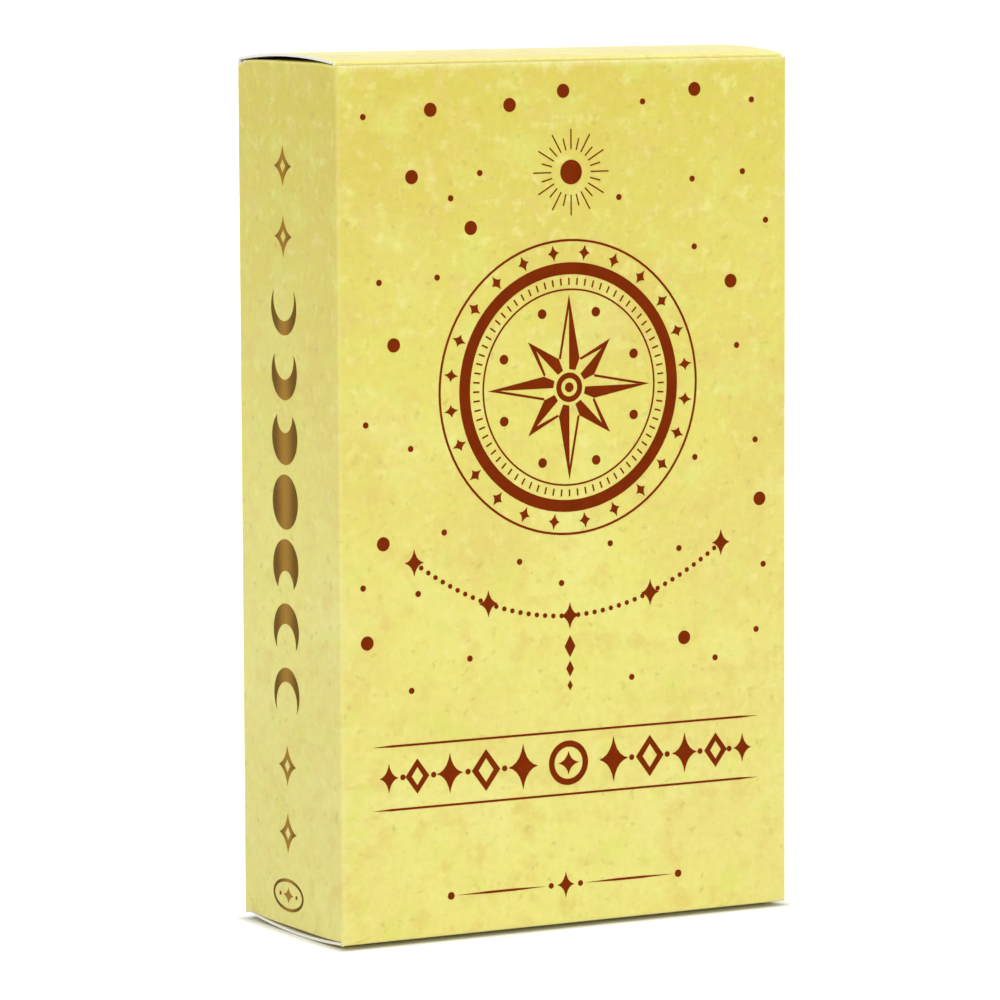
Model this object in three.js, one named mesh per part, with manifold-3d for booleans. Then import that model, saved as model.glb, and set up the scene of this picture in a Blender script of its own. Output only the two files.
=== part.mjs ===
// A boxed card deck: a folding carton with a tuck closure at each end, holding a stack of cards and a stapled guidebook.
// Millimetres. +X is to the right of the front panel, +Y towards the back panel, +Z up.
// The origin is at the middle of the carton's footprint, on the surface that it stands on.
import * as THREE from "three";
import { mergeVertices } from "three/addons/utils/BufferGeometryUtils.js";
import Module from "manifold-3d";

const wasm = await Module();
wasm.setup();
const radians = THREE.MathUtils.degToRad;

// Cards.
const CARD_WIDTH = 70;
const CARD_HEIGHT = 120;
const CARD_THICKNESS = 0.295;
const CARD_CORNER_RADIUS = 4;
const CARD_AIR = 0.01; // between neighbouring cards of the stack
const TRUMP_COUNT = 22;
const SUITS = ["cups", "coins", "swords", "wands"];
const CARDS_PER_SUIT = 14;

// Guidebook, a cover and folded sheets nested in it, stapled through the fold.
const BOOK_TRIM = 3; // the guidebook is this much narrower and shorter than the cards
const BOOK_COVER = 0.2; // thickness of the cover's stock
const BOOK_PAGE = 0.1; // thickness of the sheets' stock
const BOOK_SHEETS = 6;
const BOOK_AIR = 0.01; // between nested sheets
const STAPLE_WIRE = 0.4;
const STAPLE_CROWN = 12;
const STAPLE_CLINCH = 4; // length of each leg that is bent over inside the fold
const STAPLE_SPACING = 60; // between the middles of the two staples
const STAPLE_PLAY = 0.05; // round the wire in its holes and inside the fold

// Carton board and its folds.
const BOARD = 0.45;
const CREASE_RADIUS = 0.6; // outside of a fold

// Closures, one at each end: a panel, its tuck, and a dust flap on each side panel.
const TUCK_LENGTH = 10;
const TUCK_TILT = radians(5.5); // the tuck leans away from the wall that it slides behind
const TUCK_SLIP = 0.35; // between that wall and the fold of the tuck
const TUCK_SPARE_FOLD = radians(30); // left free inside the fold, for the tuck to fold in as the closure opens
const TUCK_SIDE_GAP = 0.6;
const TUCK_CORNER_RADIUS = 6;
const CLOSURE_INSET = 0.4; // of a closure panel's ends from the side panels' faces
const LID_SLIT = 0.25; // between the lid's ends and the dust flaps under it
const LID_CROWN = 0.55; // the lid bows up by this in its middle
const LID_RISE = 0.6; // of the lid's fold above the front panel's cut edge
const BASE_SLIT = 0.35; // between the base panel and the dust flaps over it
const FLAP_LENGTH = 22;
const FLAP_HINGE_MARGIN = 1.8; // of a flap's root from the closure's hinge wall
const FLAP_HINGE_TAPER = radians(25);
const FLAP_TUCK_MARGIN = 3.4; // of a flap's root from the wall that the tuck slides behind
const FLAP_TUCK_TAPER = radians(16);
const FLAP_TIP_RADIUS = 3;

// The glued seam, inside the right panel at the back.
const GLUE_FLAP_WIDTH = 13;
const GLUE_FLAP_MARGIN = 4; // of its ends from the side panel's folds
const GLUE_FLAP_TAPER = radians(20);
const GLUE_FILM = 0.03;
const SEAM_SETBACK = 0.2; // of the right panel's cut edge from the back panel's face

// Room for what the carton holds.
const CARD_SLIP = 0.47; // beside the cards
const STACK_SLIP = 0.15; // between the stack and each tuck
const BOOK_SLIP = 0.05; // between the guidebook and the cards
const SEAT_GAP = 0.05; // under the cards
const HEAD_ROOM = 1.15; // over the cards

const CURVE_SEGMENTS = 2; // an arc gets twice as many chords
const FOLD_CHORDS = 3; // along each panel's half of a fold
const BOW_CHORDS = 10;

// Sizes that follow from those above.
const cardPitch = CARD_THICKNESS + CARD_AIR;
const cardCount = TRUMP_COUNT + SUITS.length * CARDS_PER_SUIT;
const deckDepth = cardCount * cardPitch - CARD_AIR;
const bookWidth = CARD_WIDTH - BOOK_TRIM;
const bookHeight = CARD_HEIGHT - BOOK_TRIM;
const foldRoom = STAPLE_WIRE + 2 * STAPLE_PLAY; // inside the innermost sheet
const sheetPitch = BOOK_PAGE + BOOK_AIR;
const coverInnerRadius = foldRoom / 2 + BOOK_SHEETS * sheetPitch;
const coverOuterRadius = coverInnerRadius + BOOK_COVER;
const bookDepth = 2 * coverOuterRadius;

const tuckRoom = BOARD + TUCK_SLIP + TUCK_LENGTH * Math.sin(TUCK_TILT) + BOARD * Math.cos(TUCK_TILT);
const depth = 2 * (tuckRoom + STACK_SLIP) + bookDepth + BOOK_SLIP + deckDepth;
const innerWidth = CARD_WIDTH + 2 * CARD_SLIP;
const seamX = innerWidth / 2 + BOARD; // outer face of the glue flap
const width = 2 * (seamX + GLUE_FILM + BOARD);
const creaseRadius = THREE.MathUtils.clamp(CREASE_RADIUS, BOARD * 1.1, BOARD * 1.4);

const baseFlapZ = BOARD + BASE_SLIT; // outer face of the lower dust flaps
const seatZ = baseFlapZ + BOARD + SEAT_GAP;
const topFlapZ = seatZ + CARD_HEIGHT + HEAD_ROOM + BOARD; // outer face of the upper dust flaps
const lidZ = topFlapZ + LID_SLIT + BOARD; // outer face of the lid at its folds
const rimZ = lidZ - LID_RISE; // cut edge of the front panel

const bookFrontY = -depth / 2 + tuckRoom + STACK_SLIP;
const deckFrontY = bookFrontY + bookDepth + BOOK_SLIP;

// Materials, with the colours of the photographed box.
const material = (color, roughness, metalness = 0) =>
  new THREE.MeshStandardMaterial({ color, roughness, metalness });
const printedBoard = material(0xecdf7e, 0.5);
const cardStock = material(0xf3efe4, 0.45);
const coverStock = material(0xe4d68a, 0.55);
const pageStock = material(0xf2eee2, 0.8);
const stapleSteel = material(0xb9bcc0, 0.35, 1);

// A closed geometry as a solid that can be joined and cut.
function solidOf(geometry) {
  const bare = geometry.clone();
  bare.deleteAttribute("normal");
  bare.deleteAttribute("uv");
  const merged = mergeVertices(bare, 1e-5);
  return new wasm.Manifold(
    new wasm.Mesh({
      numProp: 3,
      vertProperties: merged.attributes.position.array,
      triVerts: new Uint32Array(merged.index.array),
    }),
  );
}

function geometryOf(solid) {
  const { vertProperties, triVerts } = solid.getMesh();
  const shared = new THREE.BufferGeometry();
  shared.setAttribute("position", new THREE.BufferAttribute(vertProperties, 3));
  shared.setIndex(new THREE.BufferAttribute(triVerts, 1));
  const geometry = shared.toNonIndexed();
  geometry.computeVertexNormals();
  return geometry;
}

// Where a flat shape's own axes and its pull go: (y, z) along x, (x, z) along -y, (x, y) along z.
const X = new THREE.Vector3(1, 0, 0);
const Y = new THREE.Vector3(0, 1, 0);
const Z = new THREE.Vector3(0, 0, 1);
const PULLS = {
  x: new THREE.Matrix4().makeBasis(Y, Z, X),
  y: new THREE.Matrix4().makeBasis(X, Z, Y.clone().negate()),
  z: new THREE.Matrix4(),
};

// A flat shape pulled along an axis from one coordinate to another.
function pulled(shape, axis, from, to) {
  const geometry = new THREE.ExtrudeGeometry(shape, {
    depth: to - from,
    bevelEnabled: false,
    curveSegments: CURVE_SEGMENTS,
  });
  geometry.translate(0, 0, axis === "y" ? -to : from);
  return geometry.applyMatrix4(PULLS[axis]);
}

const block = (low, high) =>
  solidOf(
    new THREE.BoxGeometry(high[0] - low[0], high[1] - low[1], high[2] - low[2]).translate(
      (low[0] + high[0]) / 2,
      (low[1] + high[1]) / 2,
      (low[2] + high[2]) / 2,
    ),
  );

// A closed outline, anticlockwise through corners [x, y, radius].
function roundedOutline(corners) {
  const shape = new THREE.Shape();
  corners.forEach(([x, y, radius = 0], i) => {
    if (!radius) {
      if (i) shape.lineTo(x, y);
      else shape.moveTo(x, y);
      return;
    }
    const corner = new THREE.Vector2(x, y);
    const [beforeX, beforeY] = corners.at(i - 1);
    const [afterX, afterY] = corners[(i + 1) % corners.length];
    const back = new THREE.Vector2(beforeX, beforeY).sub(corner).normalize();
    const ahead = new THREE.Vector2(afterX, afterY).sub(corner).normalize();
    const half = back.angleTo(ahead) / 2;
    const centre = back.clone().add(ahead).setLength(radius / Math.sin(half)).add(corner);
    const start = back.multiplyScalar(radius / Math.tan(half)).add(corner).sub(centre);
    const end = ahead.multiplyScalar(radius / Math.tan(half)).add(corner).sub(centre);
    shape.absarc(centre.x, centre.y, radius, start.angle(), end.angle(), false);
  });
  return shape;
}

// The section of a strip of board. u runs along its outer face between the corners that its folds would make if they
// were sharp, and v runs inwards through the board. An end is one of these:
//   cut square, which needs nothing;
//   a bend, where this strip has the whole quarter turn and its neighbour starts after it;
//   a fold with an angle inside it, where this strip has half of the turn. It is cut back to half of what is left of
//   that angle when a spare angle is folded up too.
function stripSection(length, { start = {}, end = {}, bow = 0, thickness = BOARD, place }) {
  const arc = (centre, radius, turn, chords) =>
    Array.from({ length: chords + 1 }, (_, i) => {
      const left = turn * (1 - i / chords);
      return [centre - radius * Math.sin(left), creaseRadius - radius * Math.cos(left)];
    });
  const endPoints = ({ bend, angle, spare = 0 }) => {
    if (bend) {
      const quarter = (radius) => arc(creaseRadius, radius, Math.PI / 2, 2 * FOLD_CHORDS);
      return { outer: quarter(creaseRadius), inner: quarter(creaseRadius - thickness) };
    }
    if (!angle) return { outer: [[0, 0]], inner: [[0, thickness]] };
    const half = angle / 2;
    const cut = (angle - spare) / 2;
    const turn = Math.acos(Math.cos(cut) - Math.sin(cut) / Math.tan(half)) - cut;
    const outer = arc(creaseRadius / Math.tan(half), creaseRadius, turn, FOLD_CHORDS);
    return { outer, inner: [[thickness / Math.tan(cut), thickness]] };
  };
  const mirrored = (points) => points.map(([u, v]) => [length - u, v]).reverse();
  const near = endPoints(start);
  const far = endPoints(end);
  const outer = [near.outer, mirrored(far.outer)];
  const inner = [near.inner, mirrored(far.inner)];
  const joined = ([before, after]) => {
    const from = before.at(-1);
    const steps = bow ? BOW_CHORDS : 1;
    const step = (after[0][0] - from[0]) / steps;
    const middle = Array.from({ length: steps - 1 }, (_, i) => [from[0] + step * (i + 1), from[1]]);
    return [...before, ...middle, ...after];
  };
  const bowed = ([u, v]) => [u, v - (4 * bow * u * (length - u)) / length ** 2];
  const points = [...joined(outer), ...joined(inner).reverse()].map(bowed);
  return new THREE.Shape(points.map(([u, v]) => new THREE.Vector2(...place(u, v))));
}

function mesh(name, geometry, finish) {
  const made = new THREE.Mesh(geometry, finish);
  made.name = name;
  return made;
}

const SQUARE_FOLD = { angle: Math.PI / 2 };
const HINGE_BEND = { bend: true }; // of a wall, towards the closure panel that hinges on it
const TUCK_FOLD = { angle: Math.PI / 2 - TUCK_TILT, spare: TUCK_SPARE_FOLD };

// A wall of the carton: its section seen from the end, between the folds that its section from above has.
function wall(name, fromAbove, fromTheEnd, endAxis) {
  const reach = Math.max(width, depth);
  const tall = solidOf(pulled(fromAbove, "z", 0, lidZ));
  return mesh(
    name,
    geometryOf(tall.intersect(solidOf(pulled(fromTheEnd, endAxis, -reach, reach)))),
    printedBoard,
  );
}

// Front, back and side panels, folded from one strip of board, and the flap that closes the strip into a sleeve.
function sleeve() {
  const group = new THREE.Group();
  const frontAbove = stripSection(width, {
    start: SQUARE_FOLD,
    end: SQUARE_FOLD,
    thickness: creaseRadius,
    place: (u, v) => [u - width / 2, v - depth / 2],
  });
  const frontEnd = stripSection(rimZ, {
    start: HINGE_BEND,
    place: (u, v) => [v - depth / 2, u],
  });
  const backAbove = stripSection(width / 2 + seamX, {
    start: SQUARE_FOLD,
    end: SQUARE_FOLD,
    thickness: creaseRadius,
    place: (u, v) => [u - width / 2, depth / 2 - v],
  });
  const backEnd = stripSection(lidZ, {
    end: HINGE_BEND,
    place: (u, v) => [depth / 2 - v, u],
  });
  const leftAbove = stripSection(depth, {
    start: SQUARE_FOLD,
    end: SQUARE_FOLD,
    place: (u, v) => [v - width / 2, u - depth / 2],
  });
  const rightAbove = stripSection(depth - SEAM_SETBACK, {
    start: SQUARE_FOLD,
    place: (u, v) => [width / 2 - v, u - depth / 2],
  });
  const sideEnd = (side) =>
    stripSection(topFlapZ - baseFlapZ, {
      start: SQUARE_FOLD,
      end: SQUARE_FOLD,
      place: (u, v) => [side * (width / 2 - v), baseFlapZ + u],
    });
  group.add(
    wall("front_panel", frontAbove, frontEnd, "x"),
    wall("back_panel", backAbove, backEnd, "x"),
    wall("left_panel", leftAbove, sideEnd(-1), "y"),
    wall("right_panel", rightAbove, sideEnd(1), "y"),
    glueFlap(),
  );
  return group;
}

function glueFlap() {
  const section = stripSection(GLUE_FLAP_WIDTH, {
    start: SQUARE_FOLD,
    place: (u, v) => [seamX - v, depth / 2 - u],
  });
  const low = baseFlapZ + GLUE_FLAP_MARGIN;
  const high = topFlapZ - GLUE_FLAP_MARGIN;
  const slope = GLUE_FLAP_WIDTH * Math.tan(GLUE_FLAP_TAPER);
  const freeY = depth / 2 - GLUE_FLAP_WIDTH;
  const outline = roundedOutline([
    [freeY, low + slope],
    [depth / 2, low],
    [depth / 2, high],
    [freeY, high - slope],
  ]);
  const strip = solidOf(pulled(section, "z", low, high));
  return mesh("glue_flap", geometryOf(strip.intersect(solidOf(pulled(outline, "x", 0, width)))), printedBoard);
}

// A closure, as it lies at the top of the carton: hinged on the back wall, with z = 0 on its outer face at its folds.
function closure(names, slit, crown) {
  const group = new THREE.Group();
  group.add(
    closurePanel(names.panel, crown),
    tuck(names.tuck),
    dustFlap(names.leftFlap, -1, slit),
    dustFlap(names.rightFlap, 1, slit),
  );
  return group;
}

const tuckFoldY = -depth / 2 + BOARD + TUCK_SLIP;

function closurePanel(name, crown) {
  const hingeY = depth / 2 - creaseRadius;
  const section = stripSection(hingeY - tuckFoldY, {
    end: TUCK_FOLD,
    bow: crown,
    place: (u, v) => [hingeY - u, -v],
  });
  const reach = width / 2 - CLOSURE_INSET;
  return mesh(name, pulled(section, "x", -reach, reach), printedBoard);
}

function tuck(name) {
  const along = new THREE.Vector2(Math.sin(TUCK_TILT), -Math.cos(TUCK_TILT));
  const inward = new THREE.Vector2(Math.cos(TUCK_TILT), Math.sin(TUCK_TILT));
  const section = stripSection(TUCK_LENGTH, {
    start: TUCK_FOLD,
    place: (u, v) => [tuckFoldY + u * along.x + v * inward.x, u * along.y + v * inward.y],
  });
  const reach = innerWidth / 2 - TUCK_SIDE_GAP;
  const tipZ = TUCK_LENGTH * along.y;
  const outline = roundedOutline([
    [-reach, tipZ, TUCK_CORNER_RADIUS],
    [reach, tipZ, TUCK_CORNER_RADIUS],
    [reach, BOARD],
    [-reach, BOARD],
  ]);
  const strip = solidOf(pulled(section, "x", -reach, reach));
  return mesh(name, geometryOf(strip.intersect(solidOf(pulled(outline, "y", -depth, depth)))), printedBoard);
}

function dustFlap(name, side, slit) {
  const outerZ = -(BOARD + slit);
  const section = stripSection(FLAP_LENGTH, {
    start: SQUARE_FOLD,
    place: (u, v) => [side * (width / 2 - u), outerZ - v],
  });
  const hingeEdge = (u) => depth / 2 - FLAP_HINGE_MARGIN - u * Math.tan(FLAP_HINGE_TAPER);
  const tuckEdge = (u) => -depth / 2 + FLAP_TUCK_MARGIN + u * Math.tan(FLAP_TUCK_TAPER);
  const rootX = -width / 2;
  const tipX = rootX + FLAP_LENGTH;
  const outline = roundedOutline([
    [rootX, tuckEdge(0)],
    [tipX, tuckEdge(FLAP_LENGTH), FLAP_TIP_RADIUS],
    [tipX, hingeEdge(FLAP_LENGTH), FLAP_TIP_RADIUS],
    [rootX, hingeEdge(0)],
  ]);
  let plate = solidOf(pulled(outline, "z", -width, width));
  if (side > 0) plate = plate.mirror([1, 0, 0]);
  const strip = solidOf(pulled(section, "y", -depth, depth));
  return mesh(name, geometryOf(strip.intersect(plate)), printedBoard);
}

// The cards stand in one stack behind the guidebook: the trumps one by one, then each suit as one packet.
function deck() {
  const group = new THREE.Group();
  const halfWidth = CARD_WIDTH / 2;
  const outline = roundedOutline([
    [-halfWidth, 0, CARD_CORNER_RADIUS],
    [halfWidth, 0, CARD_CORNER_RADIUS],
    [halfWidth, CARD_HEIGHT, CARD_CORNER_RADIUS],
    [-halfWidth, CARD_HEIGHT, CARD_CORNER_RADIUS],
  ]);
  const packet = (cards) => pulled(outline, "y", 0, cards * cardPitch - CARD_AIR);
  const trump = packet(1);
  const suit = packet(CARDS_PER_SUIT);
  const standing = (made, cardsBefore) => {
    made.position.set(0, deckFrontY + cardsBefore * cardPitch, seatZ);
    return made;
  };
  for (let i = 0; i < TRUMP_COUNT; i++) {
    group.add(standing(mesh(`trump_card_${String(i).padStart(2, "0")}`, trump, cardStock), i));
  }
  SUITS.forEach((name, i) => {
    group.add(standing(mesh(`suit_of_${name}`, suit, cardStock), TRUMP_COUNT + i * CARDS_PER_SUIT));
  });
  return group;
}

// The guidebook stands on its foot with its spine to the left, in a frame with its fold on x = 0 and y = 0.
function guidebook() {
  const group = new THREE.Group();
  const staples = [-1, 1].map((side) => bookHeight / 2 + (side * STAPLE_SPACING) / 2);
  const holes = staples.flatMap((middle) => stapleLegs(middle, STAPLE_PLAY));
  const folded = (innerRadius, stock) => {
    const outerRadius = innerRadius + stock;
    const foreEdge = bookWidth - coverOuterRadius;
    const shape = new THREE.Shape();
    shape.moveTo(foreEdge, outerRadius);
    shape.absarc(0, 0, outerRadius, Math.PI / 2, (3 * Math.PI) / 2, false);
    shape.lineTo(foreEdge, -outerRadius);
    shape.lineTo(foreEdge, -innerRadius);
    shape.absarc(0, 0, innerRadius, (3 * Math.PI) / 2, Math.PI / 2, true);
    shape.lineTo(foreEdge, innerRadius);
    const sheet = solidOf(pulled(shape, "z", 0, bookHeight));
    return geometryOf(holes.reduce((left, hole) => left.subtract(hole), sheet));
  };
  group.add(mesh("guidebook_cover", folded(coverInnerRadius, BOOK_COVER), coverStock));
  for (let i = 1; i <= BOOK_SHEETS; i++) {
    const innerRadius = foldRoom / 2 + (BOOK_SHEETS - i) * sheetPitch;
    group.add(mesh(`guidebook_sheet_${i}`, folded(innerRadius, BOOK_PAGE), pageStock));
  }
  ["guidebook_lower_staple", "guidebook_upper_staple"].forEach((name, i) => {
    group.add(mesh(name, geometryOf(staple(staples[i])), stapleSteel));
  });
  group.position.set(coverOuterRadius - bookWidth / 2, bookFrontY + bookDepth / 2, seatZ);
  return group;
}

// The two legs of a staple, each pushed through the fold, with a margin round the wire.
function stapleLegs(middle, margin) {
  const half = STAPLE_WIRE / 2 + margin;
  const outside = -coverOuterRadius - STAPLE_PLAY - STAPLE_WIRE;
  return [-1, 1].map((side) => {
    const z = middle + (side * (STAPLE_CROWN - STAPLE_WIRE)) / 2;
    return block([outside, -half, z - half], [STAPLE_WIRE, half, z + half]);
  });
}

// A staple: a crown along the outside of the spine, two legs, and their ends bent towards each other inside the fold.
function staple(middle) {
  const half = STAPLE_WIRE / 2;
  const crownX = -coverOuterRadius - STAPLE_PLAY - half;
  const crown = block(
    [crownX - half, -half, middle - STAPLE_CROWN / 2],
    [crownX + half, half, middle + STAPLE_CROWN / 2],
  );
  const clinches = [-1, 1].map((side) => {
    const ends = [STAPLE_CROWN / 2, STAPLE_CROWN / 2 - STAPLE_CLINCH].map((z) => middle + side * z);
    return block([0, -half, Math.min(...ends)], [STAPLE_WIRE, half, Math.max(...ends)]);
  });
  return [...stapleLegs(middle, 0), ...clinches].reduce((made, piece) => made.add(piece), crown);
}

const topClosure = closure(
  { panel: "lid_panel", tuck: "lid_tuck", leftFlap: "top_left_dust_flap", rightFlap: "top_right_dust_flap" },
  LID_SLIT,
  LID_CROWN,
);
topClosure.position.z = lidZ;

// The lower closure is the same, turned over, so that it hinges on the front panel.
const baseClosure = closure(
  { panel: "base_panel", tuck: "base_tuck", leftFlap: "base_left_dust_flap", rightFlap: "base_right_dust_flap" },
  BASE_SLIT,
  0,
);
baseClosure.rotation.x = Math.PI;

const boxedDeck = new THREE.Group();
boxedDeck.add(sleeve(), topClosure, baseClosure, deck(), guidebook());

export default boxedDeck;
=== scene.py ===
"""Looks of a boxed card deck: a folding carton, its print, the cards and the guidebook."""

import math
import random

import bmesh
import bpy
from bpy.props import FloatProperty, FloatVectorProperty, IntProperty, PointerProperty
from mathutils import Matrix, Vector


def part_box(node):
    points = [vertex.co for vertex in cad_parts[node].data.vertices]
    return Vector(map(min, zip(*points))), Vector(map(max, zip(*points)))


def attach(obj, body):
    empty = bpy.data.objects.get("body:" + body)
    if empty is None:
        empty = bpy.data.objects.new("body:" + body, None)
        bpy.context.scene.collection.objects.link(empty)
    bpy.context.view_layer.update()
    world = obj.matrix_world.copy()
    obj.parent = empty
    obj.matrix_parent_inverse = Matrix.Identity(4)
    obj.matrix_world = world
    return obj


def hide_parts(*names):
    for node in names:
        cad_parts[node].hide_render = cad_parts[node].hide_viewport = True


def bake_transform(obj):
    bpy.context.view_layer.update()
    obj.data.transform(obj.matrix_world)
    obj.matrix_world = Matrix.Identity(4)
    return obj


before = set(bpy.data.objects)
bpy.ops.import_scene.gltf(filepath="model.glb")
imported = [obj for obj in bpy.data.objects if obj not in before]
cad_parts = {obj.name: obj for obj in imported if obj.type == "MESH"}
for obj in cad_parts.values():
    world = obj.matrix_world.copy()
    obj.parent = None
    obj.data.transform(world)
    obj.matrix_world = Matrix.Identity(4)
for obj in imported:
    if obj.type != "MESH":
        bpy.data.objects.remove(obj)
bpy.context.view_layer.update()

bl_info = {
    "name": "Boxed card deck",
    "version": (1, 0, 0),
    "blender": (4, 5, 0),
    "location": "View3D > Sidebar > Card box",
    "description": "Dresses a packed carton of cards with folded board, print, cards and a guidebook",
    "category": "Object",
}

MM = 0.001


def span(node):
    """Lowest and highest corner of a solid, in millimetres."""
    low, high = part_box(node)
    return low / MM, high / MM


HALF_WIDTH = span("right_panel")[1].x
HALF_DEPTH = -span("front_panel")[0].y
RIM = span("front_panel")[1].z
LID_FOLD = span("back_panel")[1].z
TUCK_HALF = span("lid_tuck")[1].x
FLAP_DROP = LID_FOLD - span("top_left_dust_flap")[1].z
BASE_FLAP_RISE = span("base_left_dust_flap")[0].z
FLAP_REACH = span("top_left_dust_flap")[1].x + HALF_WIDTH
CARD_LOW, CARD_HIGH = span("trump_card_00")
TRUMPS = sorted(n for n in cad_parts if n.startswith("trump_card_"))
SUITS = [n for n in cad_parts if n.startswith("suit_of_")]


def linear(red, green, blue):
    """Scene colour of a screen colour whose channels run to 255."""
    return tuple(
        c / 12.92 if c <= 0.04045 else ((c + 0.055) / 1.055) ** 2.4
        for c in (red / 255, green / 255, blue / 255)
    )


def colour(name, description, *screen):
    tone = linear(*screen)
    return FloatVectorProperty(
        name=name, description=description, subtype="COLOR", size=3, min=0, max=1, default=tone
    )


def length(name, description, millimetres):
    metres = millimetres * MM
    return FloatProperty(
        name=name, description=description, default=metres, unit="LENGTH", subtype="DISTANCE", precision=5
    )


def angle(name, description, degrees):
    return FloatProperty(name=name, description=description, default=math.radians(degrees), subtype="ANGLE")


def power(name, description, watts):
    return FloatProperty(name=name, description=description, default=watts, unit="POWER")


class CartonSettings(bpy.types.PropertyGroup):
    board: length("Board", "Thickness of the folding board", 0.45)
    crease: length("Crease", "Outer radius of a fold", 0.6)
    flap_crease: length("Flap crease", "Outer radius of the folds between the sides and the dust flaps", 0.46)
    tuck: length("Tuck", "Length of a closure's tuck", 10)
    tuck_corner: length("Tuck corner", "Radius of a tuck's free corners", 6)
    end_gap: length("End gap", "Of a closure's ends from the faces of the sides", 0.2)
    lid_bow: length("Lid bow", "How far the lid bows up above its folds", 0.8)
    base_front: length("Base front", "Height of the base's front fold above the solids' foot", 0.2)
    base_back: length("Base back", "Height of the base's back fold above the solids' foot", 0.45)
    base_sag: length("Base sag", "How far the base's middle hangs below the solids' foot", 0.45)
    top_bow: length("Top bow", "How far the sides' upper folds rise in their middle", 0.4)
    low_drop: length("Low drop", "How far the sides' lower folds hang below the solids'", 0.35)
    low_front: length("Low front", "How far the sides' lower folds rise towards the front", 0.25)
    low_back: length("Low back", "How far the sides' lower folds rise towards the back", 0.64)
    relief: length("Relief", "How far a flap's fold stops short of the box's back", 2.4)
    cut_lip: length("Cut lip", "How far the printed face is pressed in along a cut", 0.09)
    parchment: colour("Parchment", "Ground tone of the print", 236, 227, 114)
    tan: colour("Tan", "Warmer blotches of the ground tone", 230, 208, 109)
    olive: colour("Olive", "Greener blotches of the ground tone", 226, 226, 106)
    # Painted shade: the ground tone that darkens the print towards the top of the walls.
    pale: colour("Pale", "Paler blotches of the ground tone", 243, 236, 146)
    painted_top_shade: colour("Deep", "Ground tone near the top of the box", 217, 200, 62)
    smudge: colour("Smudge", "Small darker marks in the ground tone", 190, 174, 76)
    # Rubbed print along cuts and folds; along the folds this pale tone is also a painted highlight.
    worn: colour("Worn", "Print that is rubbed along folds and edges", 249, 240, 172)
    inside: colour("Inside", "Unprinted inside of the board", 226, 222, 210)
    core: colour("Core", "Cut edge of the board", 255, 254, 250)


class PrintSettings(bpy.types.PropertyGroup):
    ink: colour("Ink", "Red-brown ink of the front", 129, 44, 2)
    bronze_dark: colour("Bronze, dark", "Bronze ink at the sides of a motif", 114, 80, 0)
    bronze_light: colour("Bronze, light", "Bronze ink along the middle of a motif", 172, 128, 46)
    film: length("Ink film", "Height of the ink above the board", 0.03)
    medallion: length("Medallion", "Outer radius of the front's medallion", 21.0)
    moon: length("Moon", "Radius of the side's moons", 3.9)
    moon_pitch: length("Moon pitch", "Distance from moon to moon", 9.16)
    dots: IntProperty(name="Dots", description="Scattered dots on the front", default=42, min=0)


class DeckSettings(bpy.types.PropertyGroup):
    corner: length("Corner", "Corner radius of a card", 4)
    thickness: length("Thickness", "Thickness of a card", 0.295)
    stray: length("Stray", "How far a card strays sideways in the stack", 0.18)
    lift: length("Lift", "How far a card stands up in the stack at most", 0.08)
    face: colour("Face", "Ground tone of a card's face", 246, 240, 222)
    back: colour("Back", "Ground tone of a card's back", 122, 40, 14)
    edge: colour("Edge", "Cut edge of a card", 240, 236, 224)
    cover: colour("Cover", "Cover of the guidebook", 236, 220, 132)
    page: colour("Page", "Sheets of the guidebook", 246, 243, 234)
    steel: colour("Steel", "Wire of the staples", 196, 198, 202)


class StageSettings(bpy.types.PropertyGroup):
    azimuth: angle("Azimuth", "Bearing of the camera", -28.95)
    elevation: angle("Elevation", "Height angle of the camera", 6.07)
    roll: angle("Roll", "Turn of the camera about its own axis", -0.25)
    target: FloatVectorProperty(
        name="Target", description="Point that the camera looks at", default=(-0.00245, 0, 0.05973),
        subtype="TRANSLATION", precision=4,
    )
    distance: length("Distance", "From the camera to its target", 830)
    lens: FloatProperty(name="Lens", description="Focal length in millimetres", default=207.85)
    sky: FloatProperty(name="Sky", description="Strength of the even light all round", default=0.42, min=0)
    key: power("Key", "Power of the large lamp before the box", 4.85)
    fill: power("Fill", "Power of the lamp on the left", 4.15)
    top: power("Top", "Power of the lamp overhead", 5.8)
    floor: colour("Floor", "Tone of the floor", 244, 244, 244)


# Node trees. The numbers are the colour sockets of a Mix node and the float sockets of a Random Value node.

MIX_SHARE, MIX_FIRST, MIX_SECOND, MIX_RESULT = 0, 6, 7, 2
RANDOM_LOW, RANDOM_HIGH, RANDOM_RESULT = 2, 3, 1


def opaque(tone):
    """A tone as a node's input: a colour gets a fourth channel, and a socket stays as it is."""
    return tone if isinstance(tone, bpy.types.NodeSocket) else tuple(tone) + (1,)


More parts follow.
